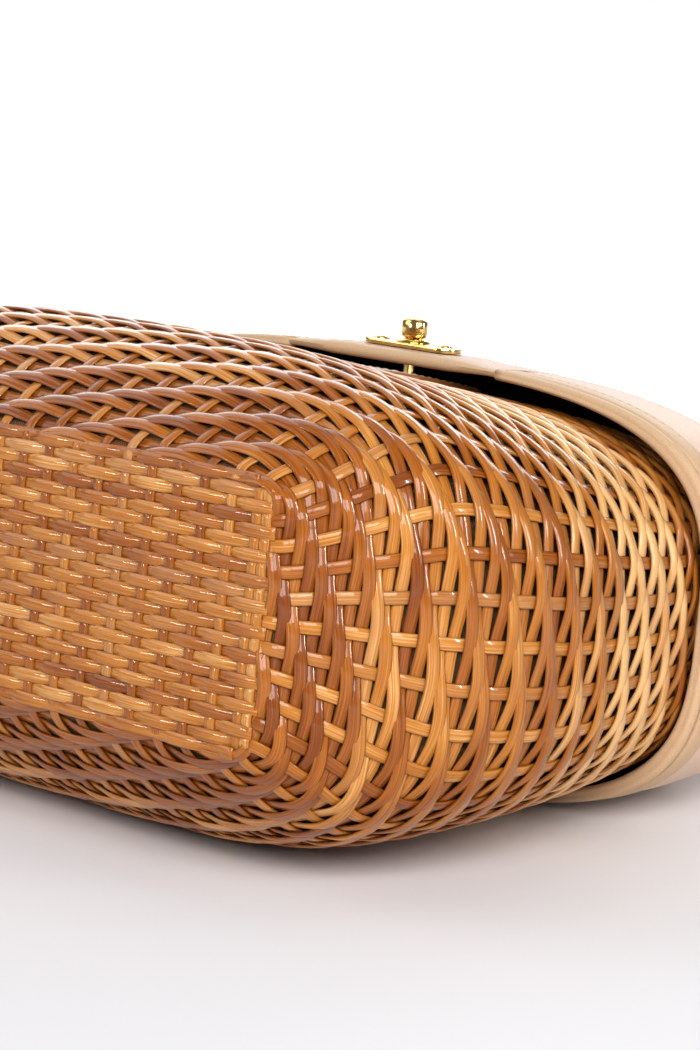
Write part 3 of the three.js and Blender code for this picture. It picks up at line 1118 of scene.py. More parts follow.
@dataclass
class Studio:
    """The pale floor and the soft light.

    Attributes:
        reach: Half the floor's side, in metres.
        glow: The strength of the white surround.
        tint: Its colour.
        lamps: The soft boxes.
    """

    reach: float = 12.0
    glow: float = 0.18
    tint: Colour = (1.0, 0.995, 1.0)
    lamps: tuple[Lamp, ...] = (
        Lamp("top_box", (0.05, 0.1, 1.5), (0.05, -0.05, 0.05), (0.9, 0.9), 2.2),
        Lamp("back_wall", (-1.45, 1.4, 0.85), (0.0, 0.0, 0.1), (2.2, 1.2), 24.0, True),
        Lamp("left_sky", (-1.25, 0.35, 1.25), (0.0, -0.05, 0.1), (1.5, 1.5), 11.0, True),
        Lamp("base_strip", (-0.68, -1.48, 0.42), (0.05, -0.17, 0.07), (0.4, 0.08), 5.0, True),
        Lamp("rear_box", (-0.6, 1.5, 1.0), (0.0, 0.0, 0.07), (0.8, 0.6), 5.0),
        Lamp("left_box", (-1.0, -0.9, 0.7), (0.0, -0.1, 0.07), (0.8, 0.8), 4.5),
        Lamp("key_box", (1.3, -0.75, 0.85), (0.05, -0.1, 0.07), (0.6, 0.6), 14.0),
        Lamp("right_box", (1.25, 0.35, 0.5), (0.05, -0.1, 0.07), (0.4, 0.6), 3.0),
        Lamp("front_box", (0.85, -1.25, 0.72), (0.05, -0.1, 0.07), (0.6, 0.6), 13.0),
        Lamp("sheen_strip", (1.25, 0.28, 0.62), (0.1, -0.1, 0.07), (0.07, 0.45), 9.0, True),
    )

    def build(self, finishes: Finishes) -> None:
        """Adds the floor, the surround and the lights.

        Args:
            finishes: The scene's materials.
        """
        mesh = bpy.data.meshes.new("floor")
        signs = ((-1, -1), (1, -1), (1, 1), (-1, 1))
        corners = [(x * self.reach, y * self.reach, 0.0) for x, y in signs]
        mesh.from_pydata(corners, [], [(0, 1, 2, 3)])
        mesh.materials.append(finishes.floor)
        floor = link("floor", mesh)
        world = bpy.data.worlds.new("white_surround")
        world.use_nodes = True
        surround = world.node_tree.nodes["Background"]
        surround.inputs["Color"].default_value = (*self.tint, 1.0)
        surround.inputs["Strength"].default_value = self.glow
        bpy.context.scene.world = world
        bpy.context.scene.view_settings.view_transform = "Standard"
        for lamp in self.lamps:
            lamp.build()


class WallSurface:
    """The outside of the woven wall, by stake number round the bag and by length up from the base.

    Attributes:
        LEVELS: Rings of the grid.
        PER_STAKE: Points of a ring from stake to stake.
        CLIMB_STEPS: Steps in which the length up the wall is measured.
        FINE: Steps in which the length round a side is measured.
        CORNER_DEG: The angle at which the front meets the ends at the base, and how much it opens.
        CORNER_RISE: The height by which it has opened.
    """

    LEVELS = 260
    PER_STAKE = 16
    CLIMB_STEPS = 400
    FINE = 500
    CORNER_DEG = (32.0, 13.0)
    CORNER_RISE = 40.0

    def __init__(self, front_stakes: int, end_stakes: int) -> None:
        """Lays the wall out.

        Args:
            front_stakes: How many stakes the front has, and the back.
            end_stakes: How many stakes each end has.
        """
        heights = np.linspace(0.0, BASKET.sections[-1].height, self.CLIMB_STEPS)
        half, front = BASKET.columns(heights)[:2]
        climb = np.hypot(np.diff(heights), np.diff((half + front) / 2))
        lengths = np.concatenate([[0.0], np.cumsum(climb)])
        self.total = float(lengths[-1])
        self.step = self.total / (self.LEVELS - 1)
        self.heights = np.interp(np.arange(self.LEVELS) * self.step, lengths, heights)
        self.stakes = 2 * (front_stakes + end_stakes)
        self.grid = np.stack([self.ring(h, front_stakes, end_stakes) for h in self.heights])
        around = np.roll(self.grid, -1, axis=1) - np.roll(self.grid, 1, axis=1)
        self.up = unit(np.gradient(self.grid, axis=0))
        self.normal = unit(np.cross(around, self.up))

    def ring(self, height: float, front_stakes: int, end_stakes: int) -> Array:
        """Points round the wall at one height, evenly between the corners of each side.

        Args:
            height: The height.
            front_stakes: How many stakes the front has.
            end_stakes: How many stakes an end has.

        Returns:
            Upright points from half a stake before the first front stake.
        """
        start_deg, opening_deg = self.CORNER_DEG
        corner = math.radians(start_deg + opening_deg * ease(height / self.CORNER_RISE))
        front = (math.pi + corner, math.tau - corner)
        back = (math.tau + corner, 3 * math.pi - corner)
        ends = (*front, *back, 3 * math.pi + corner)
        points = []
        for start, end, stakes in zip(ends, ends[1:], (front_stakes, end_stakes) * 2):
            side = BASKET.points(np.full(self.FINE, height), np.linspace(start, end, self.FINE))
            run = lengths_along(side)
            count = stakes * self.PER_STAKE
            at = run[-1] * np.arange(count) / count
            points.append(np.stack([np.interp(at, run, side[:, i]) for i in range(3)], axis=1))
        return np.concatenate(points)

    def sample(self, stake: Array, length: Array) -> tuple[Array, Array, Array]:
        """Points on the wall.

        Args:
            stake: Stake numbers, whole ones on the stakes.
            length: Lengths up from the base's edge.

        Returns:
            The points, the directions out of the wall and the directions up along it.
        """
        stake, length = np.broadcast_arrays(np.asarray(stake, float), np.asarray(length, float))
        u = (stake + 0.5) * self.PER_STAKE
        v = np.clip(length / self.step, 0.0, self.LEVELS - 1.001)
        i, j = np.floor(u).astype(int), np.floor(v).astype(int)
        fu, fv = (u - i)[..., None], (v - j)[..., None]
        wide = self.grid.shape[1]
        i, after = i % wide, (i + 1) % wide
        found = []
        for grid in (self.grid, self.normal, self.up):
            low = grid[j, i] * (1 - fu) + grid[j, after] * fu
            high = grid[j + 1, i] * (1 - fu) + grid[j + 1, after] * fu
            found.append(low * (1 - fv) + high * fv)
        return found[0], unit(found[1]), unit(found[2])


@dataclass
class Run:
    """One stretch of a strand, before the stretches are joined.

    Attributes:
        points: Its upright points.
        outward: The directions out of the weave at them.
        phase: How many crossings it has passed at them.
        period: How many crossings one turn of its weave takes.
        lift: How far it swings out and in.
    """

    points: Array
    outward: Array
    phase: Array
    period: float
    lift: float


@dataclass
class WovenBasket:
    """The woven basket: a plain woven base whose strands go on as the stakes of a twilled wall.

    Attributes:
        rule: The weaving rule.
        finishes: The bag's materials.
        depth: From the basket's outside to the middle of the weave.
        front_stakes: Stakes on the front, and on the back.
        end_stakes: Stakes on each end.
        base_rows: Long strands in the base.
        base_pitch: The distance between them.
        first_row: From the base's edge to the first weaver.
        row_pitch: The distance between weavers.
        swing: How far weavers swing out and in.
        mouth_swing: How much further they swing near the mouth, as a share.
        mouth_rows: The rows between which that grows.
        stake_swing: How far stakes give way.
        base_swing: How far the base's long strands swing.
        row_sway: How far weavers sway across their row, near the base and near the mouth.
        sway_rows: The rows between which that grows.
        sunk_rows: How much deeper the first weavers lie, next to the base.
        samples: Points on a weaver from stake to stake.
        stake_step: The distance between points on a stake.
        stake_start: How far from the base's edge stakes begin.
        bend: How far inside the base's edge strands that go on as stakes begin to bend.
        bend_passes: How often the bends are smoothed.
        end_gap: How far inside the base's edge the other strands end.
        edge_strand_gap: From the last cross strand to the one that doubles it.
        wander: How far strands stray from their line.
        sides: Points round a strand.
        girth: The least and most that a weaver's size is scaled by.
        stake_girth: The same for stakes and base strands.
        swell: How much wider weavers are where they lie over.
        stake_swell: The same for stakes and base strands.
        bands: The wall's pieces: name, the row they stop at, and the width, thickness and squareness
            of their weavers.
        cross_shape: The width, thickness and squareness of the strands across the base.
        long_shape: The same for the strands along it.
        row_tones: The weavers' tones: the row they stop at, their middle and their spread.
        cross_tone: The middle and spread of the tones of strands across the base.
        double_tone: The tone of the strands that double the last of them.
        long_tone: The middle and spread of the tones of strands that end with the base.
        first_tone: The middle for the first of them, at the base's front edge.
        end_tones: The middles from which strands that go on up the ends draw.
        end_tone_spread: Their spread.
    """

    rule: WeaveRule
    finishes: Finishes
    depth: float = 1.6
    front_stakes: int = 21
    end_stakes: int = 11
    base_rows: int = 23
    base_pitch: float = 2.9
    first_row: float = 1.3
    row_pitch: float = 2.78
    swing: float = 0.93
    mouth_swing: float = 0.3
    mouth_rows: tuple[int, int] = (34, 42)
    stake_swing: float = 0.22
    base_swing: float = 0.43
    row_sway: Pair = (0.75, 1.2)
    sway_rows: tuple[int, int] = (3, 16)
    sunk_rows: tuple[float, ...] = (0.8, 0.4, 0.15)
    samples: int = 6
    stake_step: float = 1.4
    stake_start: float = 1.0
    bend: float = 3.0
    bend_passes: int = 5
    end_gap: float = 1.0
    edge_strand_gap: float = 3.3
    wander: float = 0.9
    sides: int = 8
    girth: Pair = (0.94, 1.05)
    stake_girth: Pair = (0.95, 1.04)
    swell: float = 0.06
    stake_swell: float = 0.05
    bands: tuple[tuple[str, int, float, float, float], ...] = (
        ("weavers_lower", 21, 3.25, 0.92, 3.0),
        ("weavers_middle", 42, 3.5, 1.05, 2.8),
        ("weavers_upper", 99, 3.75, 1.4, 2.3),
    )
    cross_shape: Triple = (3.3, 0.75, 3.4)
    long_shape: Triple = (3.25, 0.7, 3.8)
    row_tones: tuple[tuple[int, float, float], ...] = (
        (9, 0.19, 0.12), (12, 0.55, 0.12), (22, 0.38, 0.2), (30, 0.44, 0.26), (37, 0.62, 0.3),
        (50, 0.94, 0.17), (99, 0.44, 0.18),
    )
    cross_tone: Pair = (0.45, 0.25)
    double_tone: float = 0.7
    long_tone: Pair = (0.46, 0.12)
    first_tone: float = 0.26
    end_tones: tuple[float, ...] = (0.18, 0.3, 0.54, 0.64)
    end_tone_spread: float = 0.06

    def __post_init__(self) -> None:
        """Lays out the wall and starts the random tones."""
        self.wall = WallSurface(self.front_stakes, self.end_stakes)
        self.rows = int((self.wall.total - self.first_row) / self.row_pitch)
        self.random = np.random.default_rng(SEED)
        self.lines = Lines()

    def build(self) -> None:
        """Weaves the base, the stakes and the wall."""
        start = 0
        for number, (name, stop, *shape) in enumerate(self.bands):
            for row in range(start, min(stop, self.rows)):
                self.add_weaver(row)
            start = stop
            self.weave(name, shape, *(("basket_body",) if number == 0 else ()))
        for number in range(self.front_stakes):
            self.add_cross_strand(number)
        for number, side in ((0, -1), (self.front_stakes - 1, 1)):
            self.add_edge_strand(number, side)
        self.weave("stakes_front_back", self.cross_shape)
        for number in range(self.base_rows):
            self.add_long_strand(number)
        self.weave("base_and_end_stakes", self.long_shape)

    def weave(self, name: str, shape: Sequence[float], *nodes: str) -> None:
        """Grows strands along the middle lines laid so far, and hands them over.

        Args:
            name: The piece's name.
            shape: The strands' width, thickness and squareness.
            nodes: The CAD nodes that the piece stands for.
        """
        width, thick, square = shape
        piece = self.rule.grow(
            self.lines.build(name),
            ("tone", "along", "across"),
            Strand_Width=width * MM,
            Strand_Thickness=thick * MM,
            Squareness=square,
            Wander=self.wander * MM,
            Sides=self.sides,
            Material=self.finishes.rattan,
        )
        dress(piece, Slot.RATTAN, *nodes)
        self.lines = Lines()

    def tone_near(self, middle: float, spread: float) -> float:
        """Draws a tone."""
        return middle + self.random.uniform(-spread, spread)

    def add_weaver(self, row: int) -> None:
        """Adds one closed ring of the wall's twill.

        Args:
            row: Its row, from the base.
        """
        stake = np.arange(self.wall.stakes * self.samples) / self.samples
        points, outward, up = self.wall.sample(stake, self.first_row + self.row_pitch * row)
        middle, spread = next((m, s) for stop, m, s in self.row_tones if row < stop)
        sunk = self.sunk_rows[row] if row < len(self.sunk_rows) else 0.0
        first, last = self.mouth_rows
        bold = 1 + self.mouth_swing * np.clip((row - first) / (last - first), 0.0, 1.0)
        sway = np.interp(row, self.sway_rows, self.row_sway)
        self.lines.add(
            points - outward * (self.depth + sunk),
            True,
            outward=outward,
            sideways=up,
            phase=stake - row - 0.5,
            period=Weave.TWILL.value,
            lift=self.swing * bold * MM,
            sway=sway * MM,
            swell=self.swell,
            girth=self.random.uniform(*self.girth),
            tone=np.clip(self.tone_near(middle, spread), 0.0, 1.0),
        )

    def stake_run(self, stake: int, upwards: bool) -> Run:
        """The stretch of a strand that is a stake of the wall.

        Args:
            stake: The stake's number.
            upwards: Whether it runs from the base to the rim, or back.

        Returns:
            The stretch.
        """
        lengths = np.arange(self.stake_start, self.wall.total, self.stake_step)
        lengths = lengths if upwards else lengths[::-1]
        points, outward, _ = self.wall.sample(np.full(len(lengths), float(stake)), lengths)
        phase = stake - (lengths - self.first_row) / self.row_pitch - 0.5
        inside = points - outward * self.depth
        return Run(inside, outward, phase, Weave.TWILL.value, -self.stake_swing)

    def add_strand(self, runs: Sequence[Run], tone: float) -> None:
        """Joins stretches into one strand, rounds its bends and adds it.

        Args:
            runs: The stretches in order.
            tone: The strand's tone.
        """
        points = np.concatenate([run.points for run in runs])
        outward = np.concatenate([run.outward for run in runs])
        lift = np.concatenate([np.full(len(run.points), run.lift) for run in runs])
        for _ in range(self.bend_passes):
            for values in (points, outward, lift):
                values[1:-1] = (values[:-2] + 2 * values[1:-1] + values[2:]) / 4
        outward = unit(outward)
        along = unit(np.gradient(points, axis=0))
        self.lines.add(
            points,
            False,
            outward=outward,
            sideways=np.cross(outward, along),
            phase=np.concatenate([run.phase for run in runs]),
            period=np.concatenate([np.full(len(run.points), run.period) for run in runs]),
            lift=lift * MM,
            sway=0.0,
            swell=self.stake_swell,
            girth=self.random.uniform(*self.stake_girth),
            tone=np.clip(tone, 0.0, 1.0),
        )

    def base_run(self, points: Array, phase: Array, lift: float) -> Run:
        """The stretch of a strand across the base."""
        outward = np.broadcast_to(np.array([0.0, 0.0, -1.0]), points.shape).copy()
        return Run(points, outward, phase, Weave.PLAIN.value, lift)

    def edge_reach(self, share: float) -> float:
        """How much of the base's reach is left at a share of its other reach."""
        corner = BASKET.sections[0].corner
        return (1 - min(abs(share), 1.0) ** corner) ** (1 / corner)

    def cross_place(self, number: int) -> float:
        """Where a cross strand lies across the base."""
        point, outward, _ = self.wall.sample(np.array([float(number)]), np.array([0.0]))
        return float((point - outward * self.depth)[0, 0])

    def across_base(self, across: float, margin: float) -> tuple[Array, Array]:
        """A line over the base from its front to its back.

        Args:
            across: Where it lies across the base.
            margin: How far inside the base's edge it stops.

        Returns:
            Its points, and how many long strands it has passed at them.
        """
        section = BASKET.sections[0]
        reach = section.front * self.edge_reach(across / section.half_width) - margin
        y = np.arange(-reach, reach, self.stake_step / 2)
        points = np.stack([np.full(len(y), across), y, np.full(len(y), self.depth)], axis=1)
        return points, y / self.base_pitch + (self.base_rows - 1) / 2

    def add_cross_strand(self, number: int) -> None:
        """Adds a strand that runs down the front, across the base and up the back.

        Args:
            number: Its number, from the left.
        """
        points, row = self.across_base(self.cross_place(number), self.bend)
        back = self.front_stakes * 2 + self.end_stakes - 1 - number
        runs = (
            self.stake_run(number, False),
            self.base_run(points, number - row, -self.stake_swing),
            self.stake_run(back, True),
        )
        self.add_strand(runs, self.tone_near(*self.cross_tone))

    def add_edge_strand(self, number: int, side: int) -> None:
        """Adds the strand that doubles the last cross strand at an end of the base.

        Args:
            number: The last cross strand's number.
            side: Its side, -1 on the left and 1 on the right.
        """
        across = self.cross_place(number) + side * self.edge_strand_gap
        points, row = self.across_base(across, self.end_gap)
        run = self.base_run(points, number - row, -self.stake_swing)
        self.add_strand([run], self.double_tone)

    def add_long_strand(self, number: int) -> None:
        """Adds a strand along the base, which goes on up both ends if its number is odd.

        Args:
            number: Its number, from the front.
        """
        y = (number - (self.base_rows - 1) / 2) * self.base_pitch
        section = BASKET.sections[0]
        odd = number % 2 == 1
        margin = self.bend if odd else self.end_gap
        reach = section.half_width * self.edge_reach(y / section.front) - margin
        places = np.array([self.cross_place(j) for j in range(self.front_stakes)])
        x = np.arange(-reach, reach, self.stake_step)
        pitch = places[1] - places[0]
        cross = np.interp(x, places, np.arange(self.front_stakes))
        cross += np.minimum(x - places[0], 0.0) / pitch + np.maximum(x - places[-1], 0.0) / pitch
        points = np.stack([x, np.full(len(x), y), np.full(len(x), self.depth)], axis=1)
        runs = [self.base_run(points, cross - number, self.base_swing)]
        middle, spread = self.long_tone
        tone = self.tone_near(self.first_tone if number == 0 else middle, spread)
        if odd:
            place = (number - 1) // 2
            right = self.front_stakes + place
            left = self.wall.stakes - 1 - place
            runs = [self.stake_run(left, False), *runs, self.stake_run(right, True)]
            tone = self.tone_near(self.random.choice(self.end_tones), self.end_tone_spread)
        self.add_strand(runs, tone)


def ring_turns(count: int) -> Array:
    """Turns round a ring, evenly by angle and clear of its axes."""
    return (np.arange(count) + 0.5) * math.tau / count


def even_turns(loft: Loft, height: float, count: int) -> Array:
    """Turns round a form at which its points at a height lie evenly spaced.

    Args:
        loft: The form.
        height: The height.
        count: How many turns.

    Returns:
        Turns in radians.
    """
    fine = np.linspace(0.0, math.tau, FINE_TURNS)
    ring = loft.points(np.full(len(fine), height), fine)
    run = lengths_along(ring)
    return np.interp(run[-1] * np.arange(count) / count, run, fine)


def edged_stations(near: float, inner: float, count: int) -> Array:
    """Places across a piece from -1 to 1, closer together next to its edges."""
    return np.concatenate([[-1.0, -near], np.linspace(-inner, inner, count), [near, 1.0]])


def held_above_table(points: Array, lift: float = 0.0) -> Array:
    """Keeps upright points from going below the table.

    Args:
        points: The points, which are changed in place.
        lift: How far above the table they are kept.

    Returns:
        The points.
    """
    limit = LIE.table_depth(points[..., 2]) - lift
    points[..., 1] = np.minimum(points[..., 1], limit)
    return points


@dataclass(frozen=True)
class Seam:
    """One kind of sewn seam.

    Attributes:
        pitch: From stitch to stitch.
        length: The length of a stitch.
        width: Its width.
    """

    pitch: float
    length: float
    width: float


@dataclass
class Sewn:
    """A part of the bag that is sewn.

    Attributes:
        finishes: The bag's materials.
        stitches: The stitching rule.
    """

    finishes: Finishes
    stitches: StitchRule

    def sew(self, seam: Seam, lines: Lines, name: str, slot: Slot) -> None:
        """Sews along seam lines and hands the stitches over.

        Args:
            seam: The kind of seam.
            lines: The seam lines.
            name: The piece's name.
            slot: The finish of the leather that is sewn.
        """
        piece = self.stitches.grow(
            lines.build(name),
            (),
            Pitch=seam.pitch * MM,
            Stitch_Length=seam.length * MM,
            Stitch_Width=seam.width * MM,
            Material=self.finishes.thread,
        )
        dress(piece, slot)


@dataclass
class Lining:
    """The dark cloth inside the basket.

    Attributes:
        finishes: The bag's materials.
        inset: How far it lies inside the basket's outside.
        wall: Its thickness.
        floor: The height of its underside.
        turn_up: Where its floor has turned up into its wall.
        top: Where it ends, below the rim.
        around: Points round it.
        levels: Rings of its wall.
    """

    finishes: Finishes
    inset: float = 4.1
    wall: float = 0.8
    floor: float = 4.2
    turn_up: float = 6.0
    top: float = 160.0
    around: int = 160
    levels: int = 60

    def build(self) -> None:
        """Builds the lining as a closed thin shell."""
        turns = ring_turns(self.around)
        heights = np.concatenate([[self.floor], np.linspace(self.turn_up, self.top, self.levels)])
        outer, inner = (
            np.stack([BASKET.points(np.full(self.around, h), turns, -inset) for h in heights])
            for inset in (self.inset, self.inset + self.wall)
        )
        inner[0, :, 2] += self.wall
        skin = Skin()
        skin.loft(np.concatenate([outer, inner[::-1]]))
        piece = skin.build("basket_lining", self.finishes.cloth)
        dress(piece, Slot.CLOTH, "lining")


@dataclass
class Lid(Sewn):
    """The leather lid with its hem, lip, lining and front panel.

    Attributes:
        around: Points round the lid.
        spacing_level: The height whose spacing all lower rings take.
        leather: The thickness of its leather.
        rim: Heights and reaches of its rounded rim.
        hem_low: Heights of the lower hem band.
        hem_round: How far below its top the hem band starts to round off.
        hem_edge: Heights from its top, and reaches, where it rounds off.
        hem_top: Where the stitched hem band ends.
        hem_rise: How far the hem band stands out.
        hem_seam: The hem's stitching.
        seam_drop: How far below the hem's top it is sewn.
        dome: Where the plain leather starts and ends, and its levels.
        crown: Heights of the crown's levels.
        pole_rise: From the crown's last level up to its middle.
        pole_shares: Where the closing rings lie on the way there.
        inside_rim: Heights of the lowest levels inside.
        crown_from: From here up, the leather is also thick downwards.
        lining_gap: From the leather to the lid's lining.
        lining_wall: The lining's thickness.
        lining_skip: Levels of the crown that the lining leaves out.
        lip_inner: The lip's inner edge.
        lip_outer: Its outer edge.
        lip_level: The height at which these are read, and one above the lip.
        lip_middle: The height of the lip's middle.
        lip_half: Half its height.
        lip_points: Points along it, and round it.
        lip_groove: Its groove's depth, place in half turns and width in radians.
        lip_ends: How far across it meets the panel squarely, and in what width it turns.
        panel_half: Half the width of the front panel.
        panel_seam: Between it and the lip.
        panel_top: Its top.
        panel_gap: From the lid to its back.
        panel_wall: Its thickness.
        panel_levels: Heights of its levels.
        panel_round: How far its top edge is rounded, in reach and in height.
        panel_flush: How far its back and its face stand off the lid where it thins out.
        panel_flat: The share of its half width that has its full thickness.
        panel_thin: The height from which it thins out towards its top.
        roll_start: Where its rolled edge starts.
        roll: Reaches and heights of the roll, from its back to its face.
        roll_middle: The height of the roll's middle.
        roll_shrink: How much its ends draw in: at the back, at the face and in height.
    """

    around: int = 280
    spacing_level: float = 150.0
    leather: float = 1.4
    rim: Pairs = (
        (138.5, -1.4), (138.25, -1.0), (138.25, -0.5), (138.45, -0.1), (138.9, 0.2),
    )
    hem_low: Pair = (139.6, 141.5)
    hem_round: float = 1.2
    hem_edge: Pairs = ((-0.4, 0.3), (0.0, 0.05), (0.5, 0.0))
    hem_top: float = 144.5
    hem_rise: float = 0.35
    hem_seam: Seam = Seam(pitch=3.1, length=2.3, width=0.35)
    seam_drop: float = 1.5
    dome: tuple[float, float, int] = (146.5, 200.0, 36)
    crown: tuple[float, ...] = (201.5, 203.0, 204.5, 206.0, 207.0, 208.0, 208.8, 209.5)
    pole_rise: float = 0.35
    pole_shares: tuple[float, ...] = (0.35, 0.7, 0.94)
    inside_rim: tuple[float, ...] = (143.0, 139.5)
    crown_from: float = 160.0
    lining_gap: float = 0.3
    lining_wall: float = 0.5
    lining_skip: int = 3
    lip_inner: Section = Section(135.7, 115.6, 52.2, 55.1, 3.2, 3.2)
    lip_outer: Section = Section(135.7, 119.8, 55.3, 58.5, 3.4, 3.25)
    lip_level: Pair = (136.0, 150.0)
    lip_middle: float = 135.9
    lip_half: float = 2.0
    lip_points: tuple[int, int] = (260, 20)
    lip_groove: Triple = (0.3, 1.55, 0.28)
    lip_ends: Pair = (50.0, 40.0)
    panel_half: float = 39.0
    panel_seam: float = 0.15
    panel_top: float = 160.0
    panel_gap: float = 0.3
    panel_wall: float = 1.0
    panel_levels: tuple[float, ...] = (138.6, 144.0, 150.0, 156.0)
    panel_round: Pair = (0.3, 0.8)
    panel_flush: Pair = (0.02, 0.1)
    panel_flat: float = 0.46
    panel_thin: float = 149.0
    roll_start: float = 137.9
    roll: Pairs = (
        (-1.4, 137.8), (-2.4, 136.6), (-2.5, 134.9), (-1.8, 133.7), (-0.5, 133.2), (0.7, 133.8),
        (1.2, 135.2), (1.15, 136.4), (0.7, 137.3),
    )
    roll_middle: float = 136.0
    roll_shrink: Triple = (0.3, 0.85, 0.3)

    def build(self) -> None:
        """Builds the lid's pieces."""
        self.heights = np.concatenate([np.linspace(*self.dome), self.crown])
        self.build_shell()
        self.build_lining()
        self.build_lip()
        self.build_panel()
        self.build_stitches()

    def outer_loop(self, height: float, out: float) -> Array:
        """One ring of the lid's leather, held above the table.

        Args:
            height: The ring's height.
            out: How far outside the lid's form it lies.

        Returns:
            Its upright points.
        """
        turns = even_turns(LID, max(height, self.spacing_level), self.around)
        level = min(max(height, LID.sections[0].height), LID.sections[-1].height)
        loop = LID.points(np.full(self.around, level), turns, out)
        loop[:, 2] = height
        return held_above_table(loop, max(0.0, -out))

    def to_pole(self, ring: Array) -> list[Array]:
        """Rings that close a dome, from its last ring towards its middle."""
        centre = ring.mean(axis=0) + np.array([0.0, 0.0, self.pole_rise])
        return [ring + (centre - ring) * share for share in self.pole_shares]

    def build_shell(self) -> None:
        """Builds the domed leather."""
        band = [(height, self.hem_rise) for height in (*self.hem_low, self.hem_top - self.hem_round)]
        edge = [(self.hem_top + up, out) for up, out in self.hem_edge]
        rim = [*self.rim, *band, *edge]
        outside = [self.outer_loop(*level) for level in rim]
        outside += [self.outer_loop(height, 0.0) for height in self.heights]
        inside = []
        for height in np.concatenate([self.heights[::-1], self.inside_rim]):
            loop = self.outer_loop(height, -self.leather)
            loop[:, 2] -= self.leather if height > self.crown_from else 0.0
            inside.append(loop)
        under = self.to_pole(inside[0])[::-1] + inside
        over = outside + self.to_pole(outside[-1])
        hem = [0.0] * len(under) + [float(height < self.hem_top) for height, _ in rim]
        hem += [0.0] * (len(over) - len(rim))
        skin = Skin()
        skin.loft(np.stack(under + over), True, np.repeat(hem, self.around))
        piece = skin.build("lid_leather", self.finishes.beige, "hem")
        dress(piece, Slot.BEIGE, "lid_shell")

    def build_lining(self) -> None:
        """Builds the lid's lining, whose near-black cloth is painted shade inside the lid, and which
        shows under its edge.
        """
        outer, inner = (
            [self.outer_loop(height, -self.leather - gap) for height in self.heights[: -self.lining_skip]]
            for gap in (self.lining_gap, self.lining_gap + self.lining_wall)
        )
        for loop in (*outer, *inner):
            loop[:, 2] -= self.leather + self.lining_gap
        inner[-1][:, 2] -= self.lining_wall
        skin = Skin()
        skin.loft(np.stack(outer + inner[::-1] + outer[:1]), False)
        # The lining's near-black cloth is painted shade inside the lid.
        dress(skin.build("lid_lining", self.finishes.lid_cloth), Slot.CLOTH)

    def build_lip(self) -> None:
        """Builds the narrow rolled lip round the lid's edge, open where the front panel wraps it."""
        seam = self.panel_half + self.panel_seam
        start = math.acos((seam / self.lip_inner.half_width) ** (self.lip_inner.corner / 2))
        along, sides = self.lip_points
        angle = np.arange(sides) * math.tau / sides
        depth, place, width = self.lip_groove
        groove = 1 - depth * np.exp(-(((angle - place * math.pi) / width) ** 2))
        across = 0.5 + 0.5 * np.cos(angle) * groove
        height = self.lip_middle + self.lip_half * np.sin(angle) * groove
        level, above = self.lip_level
        edges = (self.lip_inner, self.lip_outer)
        inner, outer = (Loft((edge, replace(edge, height=above))) for edge in edges)
        square, turning = self.lip_ends
        loops = []
        for turn in np.linspace(-start, math.pi + start, along):
            at = (np.full(sides, level), np.full(sides, turn))
            near, far = (edge.points(*at) for edge in (inner, outer))
            turned = ease((abs(near[0, 0]) - square) / turning)
            far[:, 0] = near[:, 0] + (far[:, 0] - near[:, 0]) * turned
            loop = near + (far - near) * across[:, None]
            loop[:, 2] = height
            loops.append(held_above_table(loop))
        skin = Skin()
        skin.loft(np.stack(loops), True, np.ones(along * sides))
        piece = skin.build("lid_lip", self.finishes.beige, "hem")
        dress(piece, Slot.BEIGE, "lid_binding")

    def panel_path(self) -> list[Pair]:
        """The panel's section at its middle.

        Returns:
            Reaches and heights, down its back, round its roll and up its face.
        """
        back, face = self.panel_gap, self.panel_gap + self.panel_wall
        in_by, down_by = self.panel_round
        path = [(back, height) for height in (self.panel_top, *self.panel_levels[::-1], self.roll_start)]
        path += self.roll
        path += [(face, height) for height in (*self.panel_levels, self.panel_top - down_by)]
        return [*path, (face - in_by, self.panel_top)]

    def build_panel(self) -> None:
        """Builds the front panel, which rolls round the lid's edge under the lock."""
        path = self.panel_path()
        shrink_back, shrink_face, shrink_height = self.roll_shrink
        loops, hem = [], []
        for share in edged_stations(0.994, 0.985, 41):
            x = share * self.panel_half
            side = ease((abs(share) - self.panel_flat) / (1 - self.panel_flat))
            loop = []
            for out, height in path:
                rolled = height <= self.roll_start
                if rolled:
                    moved = out * (1 - (shrink_face if out > 0 else shrink_back) * side)
                    lift = shrink_height * side * (self.roll_middle - height)
                else:
                    rise = (height - self.panel_thin) / (self.panel_top - self.panel_thin)
                    flush = self.panel_flush[out > self.panel_gap]
                    flush += self.hem_rise if height < self.hem_top else 0.0
                    moved = out + max(side, ease(rise)) * (flush - out)
                    lift = 0.0
                level = np.array(max(height, LID.sections[0].height))
                loop.append((x, float(LID.front_at(np.array(x), level)) - moved, height + lift))
                hem.append(float(rolled))
            loops.append(loop)
        skin = Skin()
        skin.loft(np.array(loops), True, np.array(hem))
        piece = skin.build("front_panel_leather", self.finishes.beige, "hem")
        crease(piece, angle_deg=50.0)
        dress(piece, Slot.BEIGE, "front_panel")

    def build_stitches(self) -> None:
        """Sews the hem, apart from where the panel covers it and where it lies on the table."""
        sunk, beyond, clearance = 0.05, 0.95, 0.6
        height = self.hem_top - self.seam_drop
        ring = self.outer_loop(height, self.hem_rise - sunk)
        outward = self.outer_loop(height, self.hem_rise + beyond) - ring
        kept = (np.abs(ring[:, 0]) > self.panel_half + self.seam_drop) | (ring[:, 1] > 0)
        clear = ring[:, 1] < LIE.table_depth(ring[:, 2]) - clearance
        lines = Lines()
        for part in self.spans(kept & clear):
            lines.add(ring[part], False, outward=unit(outward[part]))
        self.sew(self.hem_seam, lines, "lid_stitches", Slot.BEIGE)

